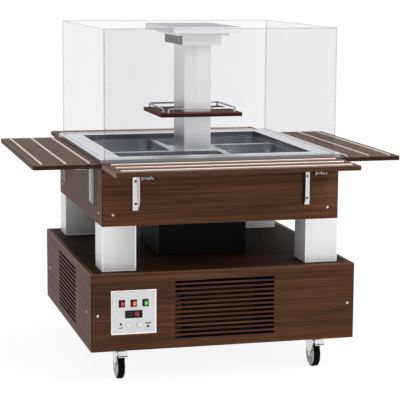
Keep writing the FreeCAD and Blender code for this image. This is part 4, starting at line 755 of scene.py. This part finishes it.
RED_GLOW = lit("RedGlow", tone(98, 12, 25), 0.08)
LIT_RED = lit("LitRedSegments", tone(196, 52, 70), 0.35)
DIM_RED = lit("DimRedSegments", tone(44, 35, 39), 0.01)
piece("display_glow", RED_GLOW, "cabinet", glow_disc, smooth=False)
piece("display_digit_lit", LIT_RED, "cabinet", lit_digit, smooth=False)
piece("display_digits_dim", DIM_RED, "cabinet", dim_digits, smooth=False)
piece("display_bezel", BLACK_PLASTIC, "cabinet", display_bezel, smooth=False)

PRINT_RISE = 0.0003
LEFT_DOT, RIGHT_DOT = (-0.4575, 0.2655, 0.0055), (-0.3400, 0.2520, 0.0062)     # x, z and radius
TICK_X, TICK_Z, TICK_STEP, TICK_HEIGHT, TICK_CURVE = -0.4660, 0.2462, 0.0036, 0.0034, 0.0002
LINE_X, LINE_Z, LINE_STEP, DASH, LINE_HEIGHT = -0.3520, 0.2632, 0.0066, 0.0056, 0.0058


def dot(shape, x, z, radius):
    profile = [(0, 0), (radius, 0), (radius, PRINT_RISE), (0, PRINT_RISE)]
    lathe(shape, profile, (x, PLATE_FACE, z), (0, -1, 0), 20)


def dash(shape, x, z, width, height):
    block(shape, (x, PLATE_FACE - PRINT_RISE, z), (x + width, PLATE_FACE + SINK, z + height))


def printed_marks(shape):
    """Plain printed signs beside the buttons: dot over a curved tick, and a dashed line over a dot."""
    dot(shape, *LEFT_DOT)
    for k in range(5):
        dash(shape, TICK_X + TICK_STEP * k, TICK_Z + TICK_CURVE * k * k, TICK_STEP, TICK_HEIGHT)
    for k in range(4):
        dash(shape, LINE_X + LINE_STEP * k, LINE_Z, DASH, LINE_HEIGHT)
    dot(shape, *RIGHT_DOT)


PRINT_GREY = paint("PrintGrey", tone(40, 39, 40), 0.6)
piece("control_marks", PRINT_GREY, "cabinet", printed_marks, smooth=False)


# ---------------------------------------------------------------- tray catches

KNOB = [(0, 0), (0.0056, 0), (0.0060, 0.012), (0.0090, 0.022), (0.0112, 0.030), (0.0112, 0.0325),
        (0.0062, 0.0340), (0.0062, 0.0380), (0.0112, 0.0395), (0.0115, 0.0450), (0.0090, 0.0475),
        (0.0058, 0.0478), (0, 0.0470)]
KNOB_OUT, KNOB_Z = 0.5372, 0.8785
KNOB_STARTS = (-0.352, 0.420)
LUG_BACK, LUG_AHEAD, LUG_OUT, LUG_HALF_Z = 0.007, 0.001, 0.006, 0.009


def catch_knobs(shape):
    """The pull knob of each tray catch, on a rod out of a small lug beside the wall leg."""
    starts = [(side, along) for side in ("front", "rear") for along in KNOB_STARTS]
    for side, along in starts:
        lathe(shape, KNOB, around(side, along, KNOB_OUT, KNOB_Z), around(side, 1, 0, 0), 28)
    for side, along in starts:
        block(shape, around(side, along - LUG_BACK, CABINET_FACE, KNOB_Z - LUG_HALF_Z),
              around(side, along + LUG_AHEAD, KNOB_OUT + LUG_OUT, KNOB_Z + LUG_HALF_Z), 0.001)


KNOB_STEEL = steel("KnobSteel", tone(150, 148, 146), 0.28, "x", 0.1, 0.05)
piece("tray_catch_knobs", KNOB_STEEL, "cabinet", catch_knobs)


# ---------------------------------------------------------------- front rod of the shelf's gallery

SHELF_LOW, SHELF_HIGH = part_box("shelf_board")
RAIL_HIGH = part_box("shelf_rail")[1]
ROD, ROD_BEND = 0.003, 0.008
ROD_INSET_X, ROD_INSET_Y = 0.020, 0.014


def tube(shape, path, radius, steps=12):
    """A rod of round section along points that all lie in one plane y = constant."""
    aside = Vector((0, 1, 0))
    angles = [2 * math.pi * k / steps for k in range(steps)]
    rings = []
    for k, spot in enumerate(path):
        before, after = path[max(k - 1, 0)], path[min(k + 1, len(path) - 1)]
        up = (after - before).normalized().cross(aside)
        rings.append([shape.verts.new(spot + radius * (math.cos(angle) * aside + math.sin(angle) * up))
                      for angle in angles])
    bridge(shape, rings)
    shape.faces.new(rings[0])
    shape.faces.new(rings[-1])


def front_rail(shape):
    """The gallery rod along the shelf's front edge, its two ends bent down into the board."""
    x, y = RAIL_HIGH.x - ROD_INSET_X, SHELF_LOW.y + ROD_INSET_Y
    foot, top = SHELF_HIGH.z, RAIL_HIGH.z - ROD
    path = [Vector((-x, y, foot))]
    for turn in range(7):
        angle = math.radians(15 * turn)
        inward, below = ROD_BEND * (1 - math.cos(angle)), ROD_BEND * (1 - math.sin(angle))
        path.append(Vector((-x + inward, y, top - below)))
    path += [Vector((-spot.x, y, spot.z)) for spot in reversed(path)]
    tube(shape, path, ROD)


CHROME = steel("ChromeWire", tone(226, 227, 230), 0.12, "x", 0.1, 0.02)
piece("shelf_front_rail", CHROME, "cabinet", front_rail)


# ---------------------------------------------------------------- fixings of castors and wall legs

BOLT = [(0, 0), (0.0095, 0), (0.0095, 0.0016), (0.0072, 0.0020), (0.0066, 0.0058), (0.0050, 0.0068),
        (0, 0.0068)]
SWIVEL, BOLT_OFF, CASTOR_PLATE_THICK = 0.442, 0.035, 0.004
BOLT_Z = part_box("castor_plates")[1].z - CASTOR_PLATE_THICK


def castor_bolts(shape):
    """Four washered bolt heads under each castor plate."""
    for x in (-SWIVEL, SWIVEL):
        for y in (-SWIVEL, SWIVEL):
            for off_x in (-BOLT_OFF, BOLT_OFF):
                for off_y in (-BOLT_OFF, BOLT_OFF):
                    lathe(shape, BOLT, (x + off_x, y + off_y, BOLT_Z), (0, 0, -1), 6)


piece("castor_bolts", CASTOR_STEEL, "cabinet", castor_bolts, smooth=False)

LEG_MIDDLE, LEG_FACE = 0.380, 0.528
LEG_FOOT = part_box("tray_wall_brackets")[0].z
LEG_HOLES = (0.028, 0.124)
# black strips beside the wall legs, standing for their shadow on the walls: painted shadow
STRIP_NEAR, STRIP_FAR, STRIP_RISE = 0.0132, 0.0185, 0.0012
STRIP_FOOT, STRIP_TOP = LEG_FOOT + 0.002, 0.912
STRIP_WAY = {"front": -1, "rear": -1, "left": 1, "right": 1}
SCREW = [(0, 0), (0.0058, 0), (0.0056, 0.0009), (0.0040, 0.0020), (0.0022, 0.0023), (0.0018, 0.0012),
         (0, 0.0010)]


def leg_shadow_strips(shape):
    """Black strips beside the wall legs: a painted shadow where the legs shade the walls."""
    for side, way in STRIP_WAY.items():
        for along in (-LEG_MIDDLE, LEG_MIDDLE):
            block(shape, around(side, along + way * STRIP_NEAR, CABINET_FACE, STRIP_FOOT),
                  around(side, along + way * STRIP_FAR, CABINET_FACE + STRIP_RISE, STRIP_TOP), 0.0003)


def leg_screws(shape):
    """Dark countersunk screws that hold the wall legs."""
    for side in SIDES:
        for along in (-LEG_MIDDLE, LEG_MIDDLE):
            for hole in LEG_HOLES:
                lathe(shape, SCREW, around(side, along, LEG_FACE, LEG_FOOT + hole), around(side, 0, 1, 0), 20)


DARK_SCREW = paint("DarkScrews", tone(48, 47, 47), 0.35, 0.6)
# painted shadow beside the wall legs
piece("painted_leg_shadow_strips", BLACK_PLASTIC, "cabinet", leg_shadow_strips, smooth=False)
piece("leg_screws", DARK_SCREW, "cabinet", leg_screws)


# ---------------------------------------------------------------- lens of the lamp box

CANOPY_LOW, CANOPY_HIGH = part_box("dome_canopy")
LENS_HALF_X, LENS_HALF_Y = CANOPY_HIGH.x - 0.016, CANOPY_HIGH.y - 0.016
LENS_Z, LENS_THICK = CANOPY_LOW.z + 0.0035, 0.0012
HOLE_HALF_X, FLANGE_HALF_Y, HOLE_HALF_Y = 0.118, 0.206, 0.207
RIB_PITCH, RIB_HALF, RIB_END, RIB_DEPTH = 0.012, 0.002, 0.002, 0.0012


def lamp_lens(shape):
    """Ribbed frosted lens in the recess round the flange, under the canopy: four strips of sheet."""
    for x0, x1, y0, y1 in ((-LENS_HALF_X, LENS_HALF_X, HOLE_HALF_Y, LENS_HALF_Y),
                           (-LENS_HALF_X, LENS_HALF_X, -LENS_HALF_Y, -HOLE_HALF_Y),
                           (-LENS_HALF_X, -HOLE_HALF_X, -FLANGE_HALF_Y, FLANGE_HALF_Y),
                           (HOLE_HALF_X, LENS_HALF_X, -FLANGE_HALF_Y, FLANGE_HALF_Y)):
        block(shape, (x0, y0, LENS_Z), (x1, y1, LENS_Z + LENS_THICK), 0.0003)
        along_x = x1 - x0 > y1 - y0
        start, length = (x0, x1 - x0) if along_x else (y0, y1 - y0)
        count = int(length / RIB_PITCH)
        for k in range(count):
            spot = start + length * (k + 0.5) / count
            if along_x:
                low, high = (spot - RIB_HALF, y0 + RIB_END), (spot + RIB_HALF, y1 - RIB_END)
            else:
                low, high = (x0 + RIB_END, spot - RIB_HALF), (x1 - RIB_END, spot + RIB_HALF)
            block(shape, (*low, LENS_Z - RIB_DEPTH), (*high, LENS_Z + 0.0002), 0.0004)


FROSTED_LENS = paint("FrostedLens", tone(238, 238, 236), 0.35, spread=0.02)
piece("lamp_lens", FROSTED_LENS, "dome", lamp_lens)


# ---------------------------------------------------------------- room and light

FLOOR_HALF = 90


def white_floor():
    """Plain white to the eye, with a faint shadow; to diffuse light it is pale grey."""
    m = Material("WhiteFloor", WHITE, 0.9, 0.0, 0.0)
    ray = m.add("ShaderNodeLightPath").outputs
    seen = m.most(ray["Is Camera Ray"], ray["Is Glossy Ray"], ray["Is Transmission Ray"])
    cloud = m.noise(m.place(), 3.0, 2.0, 0.5)
    pale = m.ramp(cloud, (0.2, (0.78, 0.78, 0.78, 1)), (0.8, (0.80, 0.80, 0.80, 1)))
    m.colour(m.blend(seen, pale, (0.17, 0.17, 0.17, 1)))
    m.glow(WHITE, m.times(seen, 0.90))
    return m.data


floor_mesh = bpy.data.meshes.new("floor")
floor_mesh.from_pydata([(-FLOOR_HALF, -FLOOR_HALF, 0), (FLOOR_HALF, -FLOOR_HALF, 0),
                        (FLOOR_HALF, FLOOR_HALF, 0), (-FLOOR_HALF, FLOOR_HALF, 0)], [], [(0, 1, 2, 3)])
floor_mesh.materials.append(white_floor())
floor = bpy.data.objects.new("floor", floor_mesh)
scene.collection.objects.link(floor)


GLOW_FROM = (0.62, -0.66, 0.42)


def studio():
    """White to the eye; as a light, a soft glow from the front right and above."""
    sky = NodeTree(bpy.data.worlds.new("Studio"))
    ray = sky.add("ShaderNodeLightPath").outputs
    plain = sky.most(ray["Is Camera Ray"], ray["Is Transmission Ray"], sky.times(ray["Is Glossy Ray"], 0.7))
    way = sky.add("ShaderNodeTexCoord").outputs["Generated"]
    toward = sky.add("ShaderNodeVectorMath", {0: way, 1: GLOW_FROM}, operation="DOT_PRODUCT").outputs["Value"]
    background = sky.tree.nodes["Background"]
    sky.give(background, "Strength", sky.mix(plain, sky.span(toward, 0.40, 0.90, -1.0, 1.0), 1.0))
    sky.give(background, "Color", WHITE)
    return sky.data


scene.world = studio()


def lamp(name, spot, aim, size, watts):
    """A round area lamp that looks at a point."""
    light = bpy.data.lights.new(name, "AREA")
    light.shape = "DISK"
    light.size = size
    light.energy = watts
    thing = bpy.data.objects.new(name, light)
    scene.collection.objects.link(thing)
    thing.location = spot
    thing.rotation_euler = (Vector(aim) - Vector(spot)).to_track_quat("-Z", "Y").to_euler()


lamp("KeyLamp", (2.6, -4.6, 4.2), (0, 0, 0.7), 2.2, 130)
lamp("TopLamp", (0.3, 0.6, 5.0), (0, 0, 0.9), 2.6, 70)


# ---------------------------------------------------------------- camera

# fitted to edges of the photograph, whose width is 400 pixels
CAMERA_SPOT = (-1.7092, -6.6191, 1.7461)
CAMERA_TURN, CAMERA_DOWN, CAMERA_ROLL = 0.25836, 0.15288, 0.00557
FOCAL_PIXELS, PHOTO_PIXELS, SENSOR = 1494.2, 400, 36.0
camera_data = bpy.data.cameras.new("Camera")
camera_data.sensor_fit = "HORIZONTAL"
camera_data.sensor_width = SENSOR
camera_data.lens = SENSOR * FOCAL_PIXELS / PHOTO_PIXELS
camera_data.clip_end = 300
camera = bpy.data.objects.new("Camera", camera_data)
scene.collection.objects.link(camera)
turn = Matrix.Rotation(-CAMERA_TURN, 4, "Z") @ Matrix.Rotation(math.pi / 2 - CAMERA_DOWN, 4, "X")
camera.matrix_world = Matrix.Translation(CAMERA_SPOT) @ turn @ Matrix.Rotation(CAMERA_ROLL, 4, "Z")
scene.camera = camera
scene.view_settings.view_transform = "Standard"
